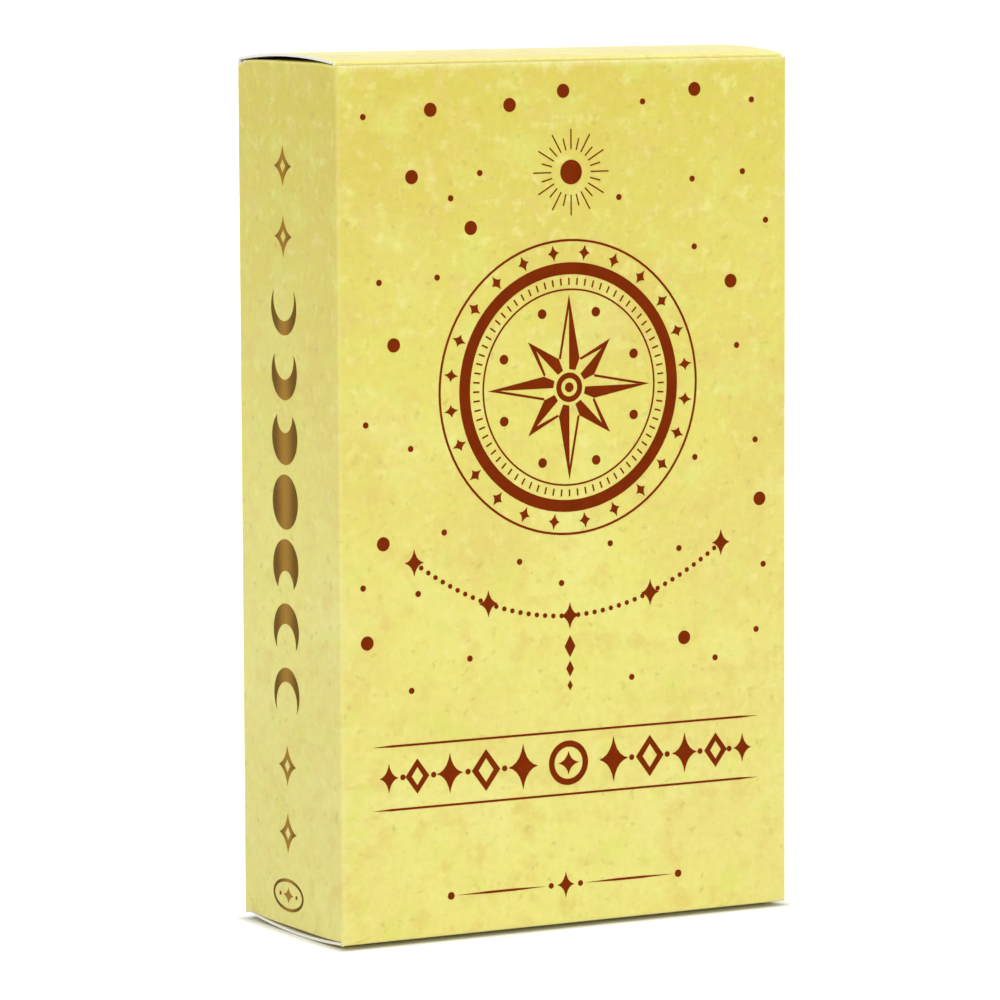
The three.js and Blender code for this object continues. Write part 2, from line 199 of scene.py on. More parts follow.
class Graph:
    """Adds nodes to a tree: inputs by name or number, each a value or the socket that feeds it."""

    def __init__(self, tree):
        self.tree = tree

    def add(self, kind, inputs=None, **settings):
        node = self.tree.nodes.new(kind)
        for key, value in settings.items():
            setattr(node, key, value)
        for key, value in (inputs or {}).items():
            if isinstance(value, bpy.types.NodeSocket):
                self.tree.links.new(value, node.inputs[key])
            else:
                node.inputs[key].default_value = value
        return node

    def math(self, operation, *values, clamp=False):
        kind = "ShaderNodeMath"
        return self.add(kind, dict(enumerate(values)), operation=operation, use_clamp=clamp).outputs[0]

    def scaled(self, value, spread, low):
        """Goes from low to low plus spread while value goes from 0 to 1."""
        return self.math("MULTIPLY_ADD", value, spread, low)

    def vector(self, operation, *values, output="Vector"):
        kind = "ShaderNodeVectorMath"
        return self.add(kind, dict(enumerate(values)), operation=operation).outputs[output]

    def split(self, vector):
        """The three parts of a vector."""
        return self.add("ShaderNodeSeparateXYZ", {0: vector}).outputs

    def combine(self, x=0.0, y=0.0, z=0.0):
        return self.add("ShaderNodeCombineXYZ", {0: x, 1: y, 2: z}).outputs[0]

    def noise(self, where, scale, detail=2.0, roughness=0.5):
        inputs = {"Vector": where, "Scale": scale, "Detail": detail, "Roughness": roughness}
        return self.add("ShaderNodeTexNoise", inputs).outputs["Fac"]

    def stretched(self, where, scales):
        """A noise whose scale differs along the three axes."""
        drawn = self.add("ShaderNodeMapping", {"Vector": where, "Scale": scales}).outputs[0]
        return self.noise(drawn, 1.0)

    def random(self, index, seed, low, high):
        """A random number for each index."""
        inputs = {"ID": index, "Seed": seed, RANDOM_LOW: low, RANDOM_HIGH: high}
        return self.add("FunctionNodeRandomValue", inputs).outputs[RANDOM_RESULT]

    def rise(self, value, low, high, top=1.0):
        """Goes smoothly from 0 to top while value goes from low to high."""
        return self.add(
            "ShaderNodeMapRange",
            {"Value": value, "From Min": low, "From Max": high, "To Min": 0.0, "To Max": top},
            interpolation_type="SMOOTHSTEP",
        ).outputs[0]

    def mix(self, share, first, second, **settings):
        inputs = {MIX_SHARE: share, MIX_FIRST: opaque(first), MIX_SECOND: opaque(second)}
        return self.add("ShaderNodeMix", inputs, data_type="RGBA", **settings).outputs[MIX_RESULT]

    def shade(self, share, tone):
        """Darkens a tone by a share that changes over the surface."""
        grey = self.add("ShaderNodeCombineColor", {0: share, 1: share, 2: share}).outputs[0]
        return self.mix(1.0, tone, grey, blend_type="MULTIPLY")

    def blotches(self, tone, other, place, scale, low, high, share, detail=3, roughness=0.6):
        """Lays patches of another tone where a noise is high."""
        patch = self.rise(self.noise(place, scale, detail, roughness), low, high, share)
        return self.mix(patch, tone, other)

    def bump(self, height, distance, strength=1.0, under=None):
        inputs = {"Height": height, "Distance": distance, "Strength": strength}
        if under is not None:
            inputs["Normal"] = under
        return self.add("ShaderNodeBump", inputs).outputs[0]


def finish(name):
    """A new material, its graph and its shader."""
    material = bpy.data.materials.new(name)
    material.use_nodes = True
    return material, Graph(material.node_tree), material.node_tree.nodes["Principled BSDF"]


def connect(graph, shader, **sockets):
    for name, value in sockets.items():
        socket = shader.inputs[name.replace("_", " ")]
        if isinstance(value, bpy.types.NodeSocket):
            graph.tree.links.new(value, socket)
        else:
            socket.default_value = value


def sheet_place(graph):
    return graph.add("ShaderNodeUVMap", uv_map="sheet").outputs[0]


def object_place(graph):
    return graph.add("ShaderNodeTexCoord").outputs["Object"]


def parchment_print(settings):
    """Mottled ground of the printed faces: paler towards the foot as painted bounce light, deeper towards the
    walls' top as painted shade, rubbed along folds and cuts, with a painted highlight on the folds.
    """
    material, graph, shader = finish("parchment print")
    place = sheet_place(graph)
    height = graph.split(place)[1]
    wall_end, lid_start = 0.1232, 0.1245
    tone = graph.blotches(settings.parchment, settings.tan, place, 30, 0.4, 0.66, 0.7, roughness=0.5)
    tone = graph.blotches(tone, settings.pale, place, 75, 0.48, 0.7, 0.7, detail=4)
    # Painted bounce light: the ground turns paler towards the foot of the box.
    tone = graph.mix(graph.rise(height, 0.08, 0.0, 0.5), tone, settings.pale)
    # Painted shade: the ground deepens towards the top of the walls, below the lid.
    walls = graph.rise(height, lid_start, wall_end)
    tone = graph.mix(graph.math("MULTIPLY", walls, graph.rise(height, 0.05, 0.13, 0.75)), tone, settings.painted_top_shade)
    finer = (
        (settings.olive, 150, 0.5, 0.7, 0.6),
        (settings.tan, 210, 0.48, 0.7, 0.6),
        (settings.pale, 380, 0.52, 0.72, 0.5),
        (settings.smudge, 520, 0.58, 0.76, 0.42),
    )
    for other, scale, low, high, share in finer:
        tone = graph.blotches(tone, other, place, scale, low, high, share)
    tone = graph.shade(graph.scaled(graph.noise(place, 820, 3, 0.6), 0.16, 0.92), tone)
    grain = graph.noise(place, 2600, 2, 0.7)
    tone = graph.shade(graph.scaled(grain, 0.06, 0.97), tone)
    # The pale rub is wear along cuts and, along folds, wear with a painted highlight.
    worn = graph.add("ShaderNodeAttribute", attribute_name="worn").outputs["Fac"]
    rubbed = graph.math("MULTIPLY", worn, graph.rise(graph.noise(place, 900, 3, 0.7), 0.3, 0.7), clamp=True)
    rubbed = graph.math("MULTIPLY_ADD", rubbed, 0.55, graph.math("MULTIPLY", worn, 0.35), clamp=True)
    tone = graph.mix(rubbed, tone, settings.worn)
    relief = graph.bump(graph.noise(place, 70, 2), 0.0006, 0.25)
    relief = graph.bump(grain, 0.00002, 0.5, relief)
    gloss = graph.scaled(graph.noise(place, 240, 3), 0.14, 0.32)
    connect(graph, shader, Base_Color=tone, Roughness=gloss, Normal=relief)
    connect(graph, shader, Specular_IOR_Level=0.06, Coat_Weight=0.35, Coat_Roughness=0.12)
    return material


def board_inside(settings):
    """Bare grey-white back of the board, with fibres and a few specks."""
    material, graph, shader = finish("board inside")
    place = sheet_place(graph)
    fibres = graph.noise(place, 1500, 4, 0.7)
    tone = graph.mix(graph.noise(place, 45, 2), settings.inside, settings.core)
    tone = graph.shade(graph.scaled(fibres, 0.12, 0.93), tone)
    tone = graph.blotches(tone, settings.smudge, place, 700, 0.68, 0.76, 0.3, detail=2, roughness=0.5)
    connect(graph, shader, Base_Color=tone, Roughness=0.82, Normal=graph.bump(fibres, 0.00004, 0.5))
    return material


def board_core(settings):
    """Fibrous pale edge where the board is cut."""
    material, graph, shader = finish("board core")
    place = object_place(graph)
    fibres = graph.noise(place, 3200, 3, 0.7)
    tone = graph.mix(graph.rise(fibres, 0.35, 0.75, 0.2), settings.core, settings.inside)
    connect(graph, shader, Base_Color=tone, Roughness=0.85, Normal=graph.bump(fibres, 0.00003, 0.6))
    return material


# How much light the inks mirror.
INK_SPECULAR = 0.03


def red_brown_ink(settings):
    """Ink of the front and the back, uneven in depth, with specks of bronze."""
    material, graph, shader = finish("red-brown ink")
    place = object_place(graph)
    tone = graph.shade(graph.scaled(graph.noise(place, 420, 3, 0.6), 0.5, 0.72), settings.ink)
    tone = graph.blotches(tone, settings.bronze_dark, place, 2600, 0.62, 0.8, 0.25, detail=2)
    gloss = graph.scaled(graph.noise(place, 300, 2), 0.2, 0.5)
    connect(graph, shader, Base_Color=tone, Roughness=gloss, Specular_IOR_Level=INK_SPECULAR)
    return material


def bronze_ink(settings, middle):
    """Bronze that is lightest along the middle of the side's column."""
    material, graph, shader = finish("bronze ink")
    place = object_place(graph)
    off = graph.math("ABSOLUTE", graph.math("SUBTRACT", graph.split(place)[1], middle * MM))
    wander = graph.scaled(graph.noise(place, 260, 2), 0.0012, -0.0006)
    share = graph.rise(graph.math("ADD", off, wander), 0.0, settings.moon * 0.8)
    tone = graph.mix(share, settings.bronze_light, settings.bronze_dark)
    tone = graph.shade(graph.scaled(graph.noise(place, 1800, 3, 0.6), 0.24, 0.88), tone)
    connect(graph, shader, Base_Color=tone, Roughness=0.42, Specular_IOR_Level=INK_SPECULAR)
    return material


# Mesh helpers.


def add_object(name, mesh):
    piece = bpy.data.objects.new(name, mesh)
    bpy.context.scene.collection.objects.link(piece)
    return piece


class FoldPath:
    """A board's printed face, seen along its folds. Outside lies on the right, and folds turn left."""

    PANEL_SPLIT = 0.485

    def __init__(self, at, heading):
        self.at = Vector(at)
        self.heading = math.radians(heading)
        self.along = 0.0
        self.stations = []
        self.mark(0.0, "")

    def outside(self, lean=0.0):
        return Vector((math.sin(self.heading + lean), -math.cos(self.heading + lean)))

    def mark(self, crease, panel, lift=0.0, lean=0.0):
        """Notes a station: its place, outside, length along the path, share of a crease and panel."""
        at = self.at + self.outside() * lift
        self.stations.append((at, self.outside(lean), self.along, crease, panel))

    def face(self, heading):
        """Sets the heading of what follows, in degrees."""
        self.heading = math.radians(heading)
        return self

    def run(self, distance, panel="", pitch=4.0, crown=0.0, near=()):
        """Goes straight on. The run may bow outwards; near gives extra places, from its end if negative."""
        count = max(1, round(distance / pitch))
        places = {distance * i / count for i in range(1, count + 1)}
        places = sorted(places | {v if v > 0 else distance + v for v in near})
        start, begun = self.at.copy(), self.along
        ahead = Vector((math.cos(self.heading), math.sin(self.heading)))
        for place in places:
            self.at = start + ahead * place
            self.along = begun + place
            share = place / distance
            lift = 4 * crown * share * (1 - share)
            self.mark(0.0, panel, lift, math.atan(4 * crown * (1 - 2 * share) / distance))
        return self

    def taper(self, radius, panel, steps):
        """Goes straight on by a radius, in steps that suit rounded corners at the path's end."""
        sines = [math.sin(i * math.pi / 2 / steps) for i in range(steps + 1)]
        for before, after in zip(sines, sines[1:]):
            self.run(radius * (after - before), panel)
        return self

    def fold(self, turn, radius, first="", second="", steps=10):
        """Turns left on an arc. Its halves belong to two panels, with a station just before its middle."""
        turn = math.radians(turn)
        middle = self.at - self.outside() * radius
        begun, heading = self.along, self.heading
        shares = [i / steps for i in range(1, steps + 1)]
        if first != second:
            shares = sorted(shares + [self.PANEL_SPLIT])
        for share in shares:
            self.heading = heading + turn * share
            self.at = middle + self.outside() * radius
            self.along = begun + turn * radius * share
            self.mark(math.sin(math.pi * share), first if share <= self.PANEL_SPLIT else second)
        return self


# Rows of board near a cut: how far they are from it, how rubbed their print is and how far it is pressed in.
CUT_ROWS = (0.0, 0.12, 0.4, 1.0)
CUT_RUB = (1.0, 0.85, 0.45, 0.0)
CUT_PRESS = (1.0, 0.25, 0.0, 0.0)
# How pale the print gets in a fold's middle: wear and a painted highlight on the crease.
FOLD_RUB_AND_HIGHLIGHT = 0.45
PRINTED, BARE, CUT = range(3)


def board(name, path, edges, place, sheet, settings, pitch=4.0):
    """A closed sheet of board along a path, in millimetres.

    edges gives both ends of a station across the path and, where they aren't plain cuts, the share of a cut
    at each. place and sheet give a point's place in the box and on the unfolded sheet.
    """
    thickness, lip = settings.board / MM, settings.cut_lip / MM
    widest = max(high - low for low, high, *_ in map(edges, path.stations))
    between = max(1, round((widest - 2 * CUT_ROWS[-1]) / pitch))
    mesh = bpy.data.meshes.new(name)
    grid = bmesh.new()
    uv = grid.loops.layers.uv.new("sheet")
    worn = grid.verts.layers.float.new("worn")
    outer, inner, on_sheet = [], [], {}
    for station in path.stations:
        at, out, along, crease, _ = station
        low, high, *cut = edges(station)
        low_cut, high_cut = cut or (1.0, 1.0)
        inset = [low + n for n in CUT_ROWS]
        outset = [high - n for n in reversed(CUT_ROWS)]
        room = outset[0] - inset[-1]
        across = inset + [inset[-1] + room * i / between for i in range(1, between)] + outset
        rubs, presses = (
            [v * low_cut for v in share] + [0.0] * (between - 1) + [v * high_cut for v in reversed(share)]
            for share in (CUT_RUB, CUT_PRESS)
        )
        for line, depth, lip_depth in ((outer, 0.0, lip), (inner, thickness, 0.0)):
            row = []
            for side, rub, press in zip(across, rubs, presses):
                point = at - out * (depth + press * lip_depth)
                vert = grid.verts.new(Vector(place(point.x, point.y, side)) * MM)
                # Wear along cuts, and wear with a painted highlight along folds.
                vert[worn] = max(rub, crease * FOLD_RUB_AND_HIGHLIGHT)
                on_sheet[vert] = Vector(sheet(along, side)) * MM
                row.append(vert)
            line.append(row)
    for i in range(len(outer) - 1):
        for j in range(len(outer[0]) - 1):
            for line, slot in ((outer, PRINTED), (inner, BARE)):
                face = grid.faces.new((line[i][j], line[i + 1][j], line[i + 1][j + 1], line[i][j + 1]))
                face.material_index = slot
                face.smooth = True
        for j in (0, -1):
            rim = (outer[i][j], outer[i + 1][j], inner[i + 1][j], inner[i][j])
            grid.faces.new(rim).material_index = CUT
    for i in (0, -1):
        for j in range(len(outer[0]) - 1):
            rim = (outer[i][j], outer[i][j + 1], inner[i][j + 1], inner[i][j])
            grid.faces.new(rim).material_index = CUT
    for face in grid.faces:
        for loop in face.loops:
            loop[uv].uv = on_sheet[loop.vert]
    for edge in grid.edges:
        edge.smooth = len({face.material_index for face in edge.link_faces}) == 1
    bmesh.ops.recalc_face_normals(grid, faces=grid.faces)
    grid.to_mesh(mesh)
    grid.free()
    for material in board_finishes():
        mesh.materials.append(material)
    piece = add_object(name, mesh)
    return piece


def board_finishes():
    """The materials for the printed face, the bare one and the cuts, in that order."""
    found = [bpy.data.materials.get(n) for n in ("parchment print", "board inside", "board core")]
    if None in found:
        settings = bpy.context.scene.carton
        found = [parchment_print(settings), board_inside(settings), board_core(settings)]
    return found


# How far the ink's slabs reach below the board's face, in millimetres.
INK_ROOT = -0.02


class Motif:
    """Flat printed shapes in a plane, in millimetres, raised to thin closed slabs."""

    def __init__(self, high, low=INK_ROOT):
        self.low, self.high = low, high
        self.grid = bmesh.new()

    def level(self, points, height):
        return [self.grid.verts.new((a, b, height)) for a, b in points]

    def plate(self, points):
        """A filled outline."""
        top, bottom = self.level(points, self.high), self.level(points, self.low)
        self.grid.faces.new(top)
        self.grid.faces.new(reversed(bottom))
        for i in range(len(top)):
            self.grid.faces.new((top[i - 1], bottom[i - 1], bottom[i], top[i]))
        return self

    def band(self, outer, inner, closed=True):
        """The strip between two outlines with the same number of points."""
        rings = [self.level(line, h) for line in (outer, inner) for h in (self.high, self.low)]
        out_top, out_low, in_top, in_low = rings
        for i in range(0 if closed else 1, len(outer)):
            j = i - 1
            self.grid.faces.new((out_top[j], out_top[i], in_top[i], in_top[j]))
            self.grid.faces.new((out_low[i], out_low[j], in_low[j], in_low[i]))
            self.grid.faces.new((out_low[j], out_low[i], out_top[i], out_top[j]))
            self.grid.faces.new((in_top[j], in_top[i], in_low[i], in_low[j]))
        return self

    def disc(self, radius, at=(0, 0), count=24):
        return self.plate(circle(radius, at, count))

    def ring(self, outer, inner, at=(0, 0), count=96):
        return self.band(circle(outer, at, count), circle(inner, at, count))

    def mesh(self, name):
        bmesh.ops.remove_doubles(self.grid, verts=self.grid.verts, dist=1e-5)
        bmesh.ops.dissolve_degenerate(self.grid, edges=self.grid.edges, dist=1e-6)
        bmesh.ops.recalc_face_normals(self.grid, faces=self.grid.faces)
        mesh = bpy.data.meshes.new(name)
        self.grid.to_mesh(mesh)
        self.grid.free()
        return mesh


def circle(radius, at=(0, 0), count=24, squash=1.0):
    turns = [math.tau * i / count for i in range(count)]
    return [(at[0] + radius * math.cos(turn), at[1] + radius * squash * math.sin(turn)) for turn in turns]


def sparkle(tall, wide, waist, steps=5, at=(0, 0)):
    """Outline of a four-pointed star with hollow sides."""
    tips = [(wide, 0), (0, tall), (-wide, 0), (0, -tall)]
    points = []
    for i, tip in enumerate(tips):
        after = tips[(i + 1) % 4]
        dip = (waist * (tip[0] + after[0]) / wide, waist * (tip[1] + after[1]) / tall)
        for k in range(steps):
            s = k / steps
            first, middle, last = (1 - s) ** 2, 2 * s * (1 - s), s * s
            points.append(tuple(at[c] + first * tip[c] + middle * dip[c] + last * after[c] for c in (0, 1)))
    return points


def diamond(tall, wide, at=(0, 0)):
    return [(at[0] + wide, at[1]), (at[0], at[1] + tall), (at[0] - wide, at[1]), (at[0], at[1] - tall)]


def bar(wide, tall):
    """Outline of an upright bar about the origin."""
    x, y = wide / 2, tall / 2
    return [(-x, -y), (x, -y), (x, y), (-x, y)]


def crescent(motif, radius, thick, bite, turn, at, steps=32):
    """A moon whose bite leaves a given thickness; turn is 1 for horns up and -1 for horns down."""
    middle = thick + bite - radius
    tip = (radius**2 - bite**2 + middle**2) / (2 * middle)
    wide = math.sqrt(radius**2 - tip**2)
    outer_half = math.atan2(wide, -tip)
    inner_half = math.atan2(wide, middle - tip)
    outer, inner = [], []
    for i in range(steps + 1):
        share = 2 * i / steps - 1
        far, near = share * outer_half, share * inner_half
        outer.append((at[0] + radius * math.sin(far), at[1] - turn * radius * math.cos(far)))
        inner.append((at[0] + bite * math.sin(near), at[1] + turn * (middle - bite * math.cos(near))))
    motif.band(outer, inner, closed=False)


# Each face of the box: where a motif's across, up and out go, and how far out the face is.
FACES = {
    "front": Matrix(((1, 0, 0, 0), (0, 0, -1, -HALF_DEPTH), (0, 1, 0, 0), (0, 0, 0, 1))),
    "back": Matrix(((-1, 0, 0, 0), (0, 0, 1, HALF_DEPTH), (0, 1, 0, 0), (0, 0, 0, 1))),
    "left": Matrix(((0, 0, -1, -HALF_WIDTH), (-1, 0, 0, 0), (0, 1, 0, 0), (0, 0, 0, 1))),
    "right": Matrix(((0, 0, 1, HALF_WIDTH), (1, 0, 0, 0), (0, 1, 0, 0), (0, 0, 0, 1))),
}


def lay_on(face, mesh, at=(0, 0)):
    """Moves a flat motif from its plane, in millimetres, to a face of the box, in metres."""
    mesh.transform(Matrix.Scale(MM, 4) @ FACES[face] @ Matrix.Translation((at[0], at[1], 0)))
    return mesh


def join(name, meshes, material):
    """One mesh of several, in one material."""
    grid = bmesh.new()
    for mesh in meshes:
        grid.from_mesh(mesh)
        bpy.data.meshes.remove(mesh)
    for face in grid.faces:
        face.material_index = 0
    mesh = bpy.data.meshes.new(name)
    grid.to_mesh(mesh)
    grid.free()
    mesh.materials.append(material)
    return mesh


# Geometry node trees.


def new_tree(name, **inputs):
    """A geometry tree with named inputs, its graph and the sockets of those inputs."""
    tree = bpy.data.node_groups.new(name, "GeometryNodeTree")
    for label, kind in inputs.items():
        tree.interface.new_socket(label, in_out="INPUT", socket_type=f"NodeSocket{kind}")
    tree.interface.new_socket("Geometry", in_out="OUTPUT", socket_type="NodeSocketGeometry")
    graph = Graph(tree)
    sockets = {s.name: s for s in graph.add("NodeGroupInput").outputs}
    return tree, graph, sockets


def run_tree(tree, values):
    """The plain mesh that a tree makes with these inputs."""
    carrier = add_object("carrier", bpy.data.meshes.new("carrier"))
    modifier = carrier.modifiers.new("maker", "NODES")
    modifier.node_group = tree
    for item in tree.interface.items_tree:
        if item.in_out == "INPUT" and item.name in values:
            modifier[item.identifier] = values[item.name]
    graph = bpy.context.evaluated_depsgraph_get()
    mesh = bpy.data.meshes.new_from_object(carrier.evaluated_get(graph), depsgraph=graph)
    carrier.modifiers.remove(modifier)
    bpy.data.objects.remove(carrier)
    if not mesh.polygons:
        raise RuntimeError(f"{tree.name} made nothing")
    return mesh


def place_motif(graph, points, take, turn=0.0, size=(1, 1, 1)):
    """Ends a tree: its motif on each point, turned and sized, as real mesh in its material."""
    shape = graph.add("GeometryNodeObjectInfo", {"Object": take["Motif"]}).outputs["Geometry"]
    inputs = {"Points": points, "Instance": shape, "Rotation": graph.combine(z=turn), "Scale": size}
    placed = graph.add("GeometryNodeInstanceOnPoints", inputs).outputs[0]
    real = graph.add("GeometryNodeRealizeInstances", {0: placed}).outputs[0]
    inputs = {"Geometry": real, "Material": take["Material"]}
    graph.add("NodeGroupOutput", {0: graph.add("GeometryNodeSetMaterial", inputs).outputs[0]})


def wreath_tree():
    """A motif repeated round a circle, each turned outwards."""
    tree, graph, take = new_tree(
        "wreath", Motif="Object", Count="Int", Radius="Float", Turn="Float", Material="Material"
    )
    index = graph.add("GeometryNodeInputIndex").outputs[0]
    step = graph.math("DIVIDE", math.tau, take["Count"])
    bearing = graph.math("MULTIPLY_ADD", index, step, take["Turn"])
    x, y = (graph.math("MULTIPLY", graph.math(way, bearing), take["Radius"]) for way in ("COSINE", "SINE"))
    inputs = {"Count": take["Count"], "Position": graph.combine(x, y)}
    points = graph.add("GeometryNodePoints", inputs).outputs[0]
    place_motif(graph, points, take, graph.math("SUBTRACT", bearing, math.pi / 2))
    return tree


def garland_tree():
    """A motif repeated at even steps along a hanging curve."""
    tree, graph, take = new_tree(
        "garland", Motif="Object", Count="Int", Reach="Float", Sag="Float", Material="Material"
    )
    left = graph.combine(x=graph.math("MULTIPLY", take["Reach"], -1.0))
    low = graph.combine(y=graph.math("MULTIPLY", take["Sag"], -2.0))
    inputs = {"Resolution": 64, "Start": left, "Middle": low, "End": graph.combine(x=take["Reach"])}
    curve = graph.add("GeometryNodeCurveQuadraticBezier", inputs).outputs[0]
    inputs = {"Curve": curve, "Count": take["Count"]}
    points = graph.add("GeometryNodeCurveToPoints", inputs, mode="COUNT").outputs["Points"]
    place_motif(graph, points, take)
    return tree


def scatter_tree():
    """A motif on each point of a cloud, at the point's own size."""
    tree, graph, take = new_tree("scatter", Cloud="Object", Motif="Object", Material="Material")
    cloud = graph.add("GeometryNodeObjectInfo", {"Object": take["Cloud"]}).outputs["Geometry"]
    points = graph.add("GeometryNodeMeshToPoints", {"Mesh": cloud}).outputs[0]
    size = graph.add("GeometryNodeInputNamedAttribute", {"Name": "size"}, data_type="FLOAT").outputs[0]
    place_motif(graph, points, take, size=graph.combine(size, size, 1.0))
    return tree


def stack_tree():
    """Cards one behind the other, each a little astray and a little raised."""
    tree, graph, take = new_tree(
        "stack", Card="Object", Count="Int", Start="Float", Pitch="Float", Stray="Float", Lift="Float",
        Seed="Int", Edge="Material", Face="Material", Back="Material",
    )
    seed_step, flat_on = 7.0, 0.9
    index = graph.add("GeometryNodeInputIndex").outputs[0]
    aside = graph.random(index, take["Seed"], graph.math("MULTIPLY", take["Stray"], -1.0), take["Stray"])
    lift = graph.random(index, graph.math("ADD", take["Seed"], seed_step), 0.0, take["Lift"])
    behind = graph.math("MULTIPLY_ADD", index, take["Pitch"], take["Start"])
    inputs = {"Count": take["Count"], "Position": graph.combine(aside, behind, lift)}
    points = graph.add("GeometryNodePoints", inputs).outputs[0]
    shape = graph.add("GeometryNodeObjectInfo", {"Object": take["Card"]}).outputs["Geometry"]
    placed = graph.add("GeometryNodeInstanceOnPoints", {"Points": points, "Instance": shape}).outputs[0]
    made = graph.add("GeometryNodeRealizeInstances", {0: placed}).outputs[0]
    made = graph.add("GeometryNodeSetMaterial", {"Geometry": made, "Material": take["Edge"]}).outputs[0]
    facing = graph.split(graph.add("GeometryNodeInputNormal").outputs[0])[1]
    for material, side in (("Face", -1.0), ("Back", 1.0)):
        chosen = graph.math("GREATER_THAN", graph.math("MULTIPLY", facing, side), flat_on)
        inputs = {"Geometry": made, "Selection": chosen, "Material": take[material]}
        made = graph.add("GeometryNodeSetMaterial", inputs).outputs[0]
    graph.add("NodeGroupOutput", {0: made})
    return tree


# The carton. The starts are where its panels begin along the unfolded sheet, in millimetres.

BACK_START = 13.0
SEAM_INSET = 0.48
SEAM = HALF_WIDTH - SEAM_INSET
LEFT_START = BACK_START + SEAM + HALF_WIDTH
FRONT_START = LEFT_START + 2 * HALF_DEPTH
RIGHT_START = FRONT_START + 2 * HALF_WIDTH

# How long the sides' folds stay straight before they curve to their ends.
TOP_POWER, LOW_POWER = 6, 5

# Fits of the closures, in millimetres and degrees.
TUCK_SLIP = 0.35
TUCK_TURN = 95.5
BASE_TUCK_GAP = 0.05

# Rows of board just past a closure's folds, the shares of the first at which two places are worked out that
# nothing uses, and the length over which an edge steps.
HINGE_ROWS = (0.1, 0.2, 0.3, 0.45, 0.8)
HINGE_BLEND = (0.45, 0.9)
TUCK_ROW = 0.15
STEP = 0.08


def trim(radius, past):
    """What a rounded corner takes off an edge, a length past the corner's start."""
    return radius - math.sqrt(max(0.0, radius**2 - max(0.0, past) ** 2))


def spot(pose, *place):
    """A place of a closure, in the box and in metres."""
    return Vector(pose(*place)) * MM


def upright(x, y, z):
    """The top closure's pose."""
    return x, y, z


def turned(x, y, z):
    """The bottom closure's pose: the top one's, turned over about the width."""
    return x, -y, LID_FOLD - z


def fold_bow(settings, y, top):
    """How far a side panel's fold stands out at a depth, beyond the level of the solid's."""
    end = min(1.0, abs(y) / (HALF_DEPTH - settings.crease / MM))
    if top:
        return settings.top_bow / MM * (1 - end**TOP_POWER)
    rise = settings.low_front if y < 0 else settings.low_back
    return (settings.low_drop - rise * end**LOW_POWER) / MM


class CARTON_OT_sleeve(bpy.types.Operator):
    """Folds the four walls and the glue flap from one sheet"""

    bl_idname = "carton.sleeve"
    bl_label = "Sleeve"

    def execute(self, context):
        settings = context.scene.carton
        radius, relief = settings.crease / MM, settings.relief / MM
        seam_gap = 0.2
        path = FoldPath((SEAM, HALF_DEPTH - BACK_START), 90)
        path.run(BACK_START - radius, "glue", pitch=2)
        path.fold(90, radius, "back", "back")
        path.run(SEAM + HALF_WIDTH - 2 * radius, "back")
        path.fold(90, radius, "back", "left")
        path.run(2 * HALF_DEPTH - 2 * radius, "left", pitch=1, near=(relief - radius, relief - radius + STEP))
        path.fold(90, radius, "left", "front")
        path.run(2 * HALF_WIDTH - 2 * radius, "front")
        path.fold(90, radius, "front", "right")
        near = (seam_gap - relief - STEP, seam_gap - relief)
        path.run(2 * HALF_DEPTH - radius - seam_gap, "right", pitch=1, near=near)

        def sheet(along, height):
            return along, height

        piece = board("carton_sleeve", path, self.edges(settings), upright, sheet, settings)
        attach(piece, "sleeve")
        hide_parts("front_panel", "back_panel", "left_panel", "right_panel", "glue_flap")
        return {"FINISHED"}

    def edges(self, settings):
        """A function that gives a station's lower and upper end, and the share of a cut at each."""
        radius, flap_radius, relief = settings.crease / MM, settings.flap_crease / MM, settings.relief / MM
        front_low, back_low = settings.base_front / MM, settings.base_back / MM
        low_rise, top_fall = BASE_FLAP_RISE + flap_radius, LID_FOLD - FLAP_DROP - flap_radius
        glue_low, glue_high, glue_slope = 4.8, 118.9, math.tan(math.radians(20))
        back_peak, front_gap, relief_rise = 0.1, 0.02, 0.2
        corner_hurry, corner_peak = 2.5, 0.55

        def ends(station):
            at, _, _, crease, panel = station
            if panel in ("glue", ""):
                far = max(0.0, HALF_DEPTH - at.y)
                return glue_low + far * glue_slope, glue_high - far * glue_slope
            corner = abs(at.x) > HALF_WIDTH - settings.end_gap / MM
            if panel == "back":
                return back_low, RIM + (back_peak if corner and at.x < 0 else 0.0), 1.0, 0.0
            if panel == "front":
                return front_low + (front_gap if corner else radius), RIM, 0.0, 1.0
            high = top_fall + fold_bow(settings, at.y, True)
            past = at.y - (HALF_DEPTH - relief)
            if past > -STEP / 2:
                chamfer = flap_radius * (1 - past / (relief - radius))
                return back_low + relief_rise * (1 - crease), high + chamfer, 1.0, 1.0
            low = low_rise - fold_bow(settings, at.y, False)
            low -= (low - front_low) * min(1.0, corner_hurry * crease)
            return low, high + corner_peak * crease, 0.0, 0.0

        return ends


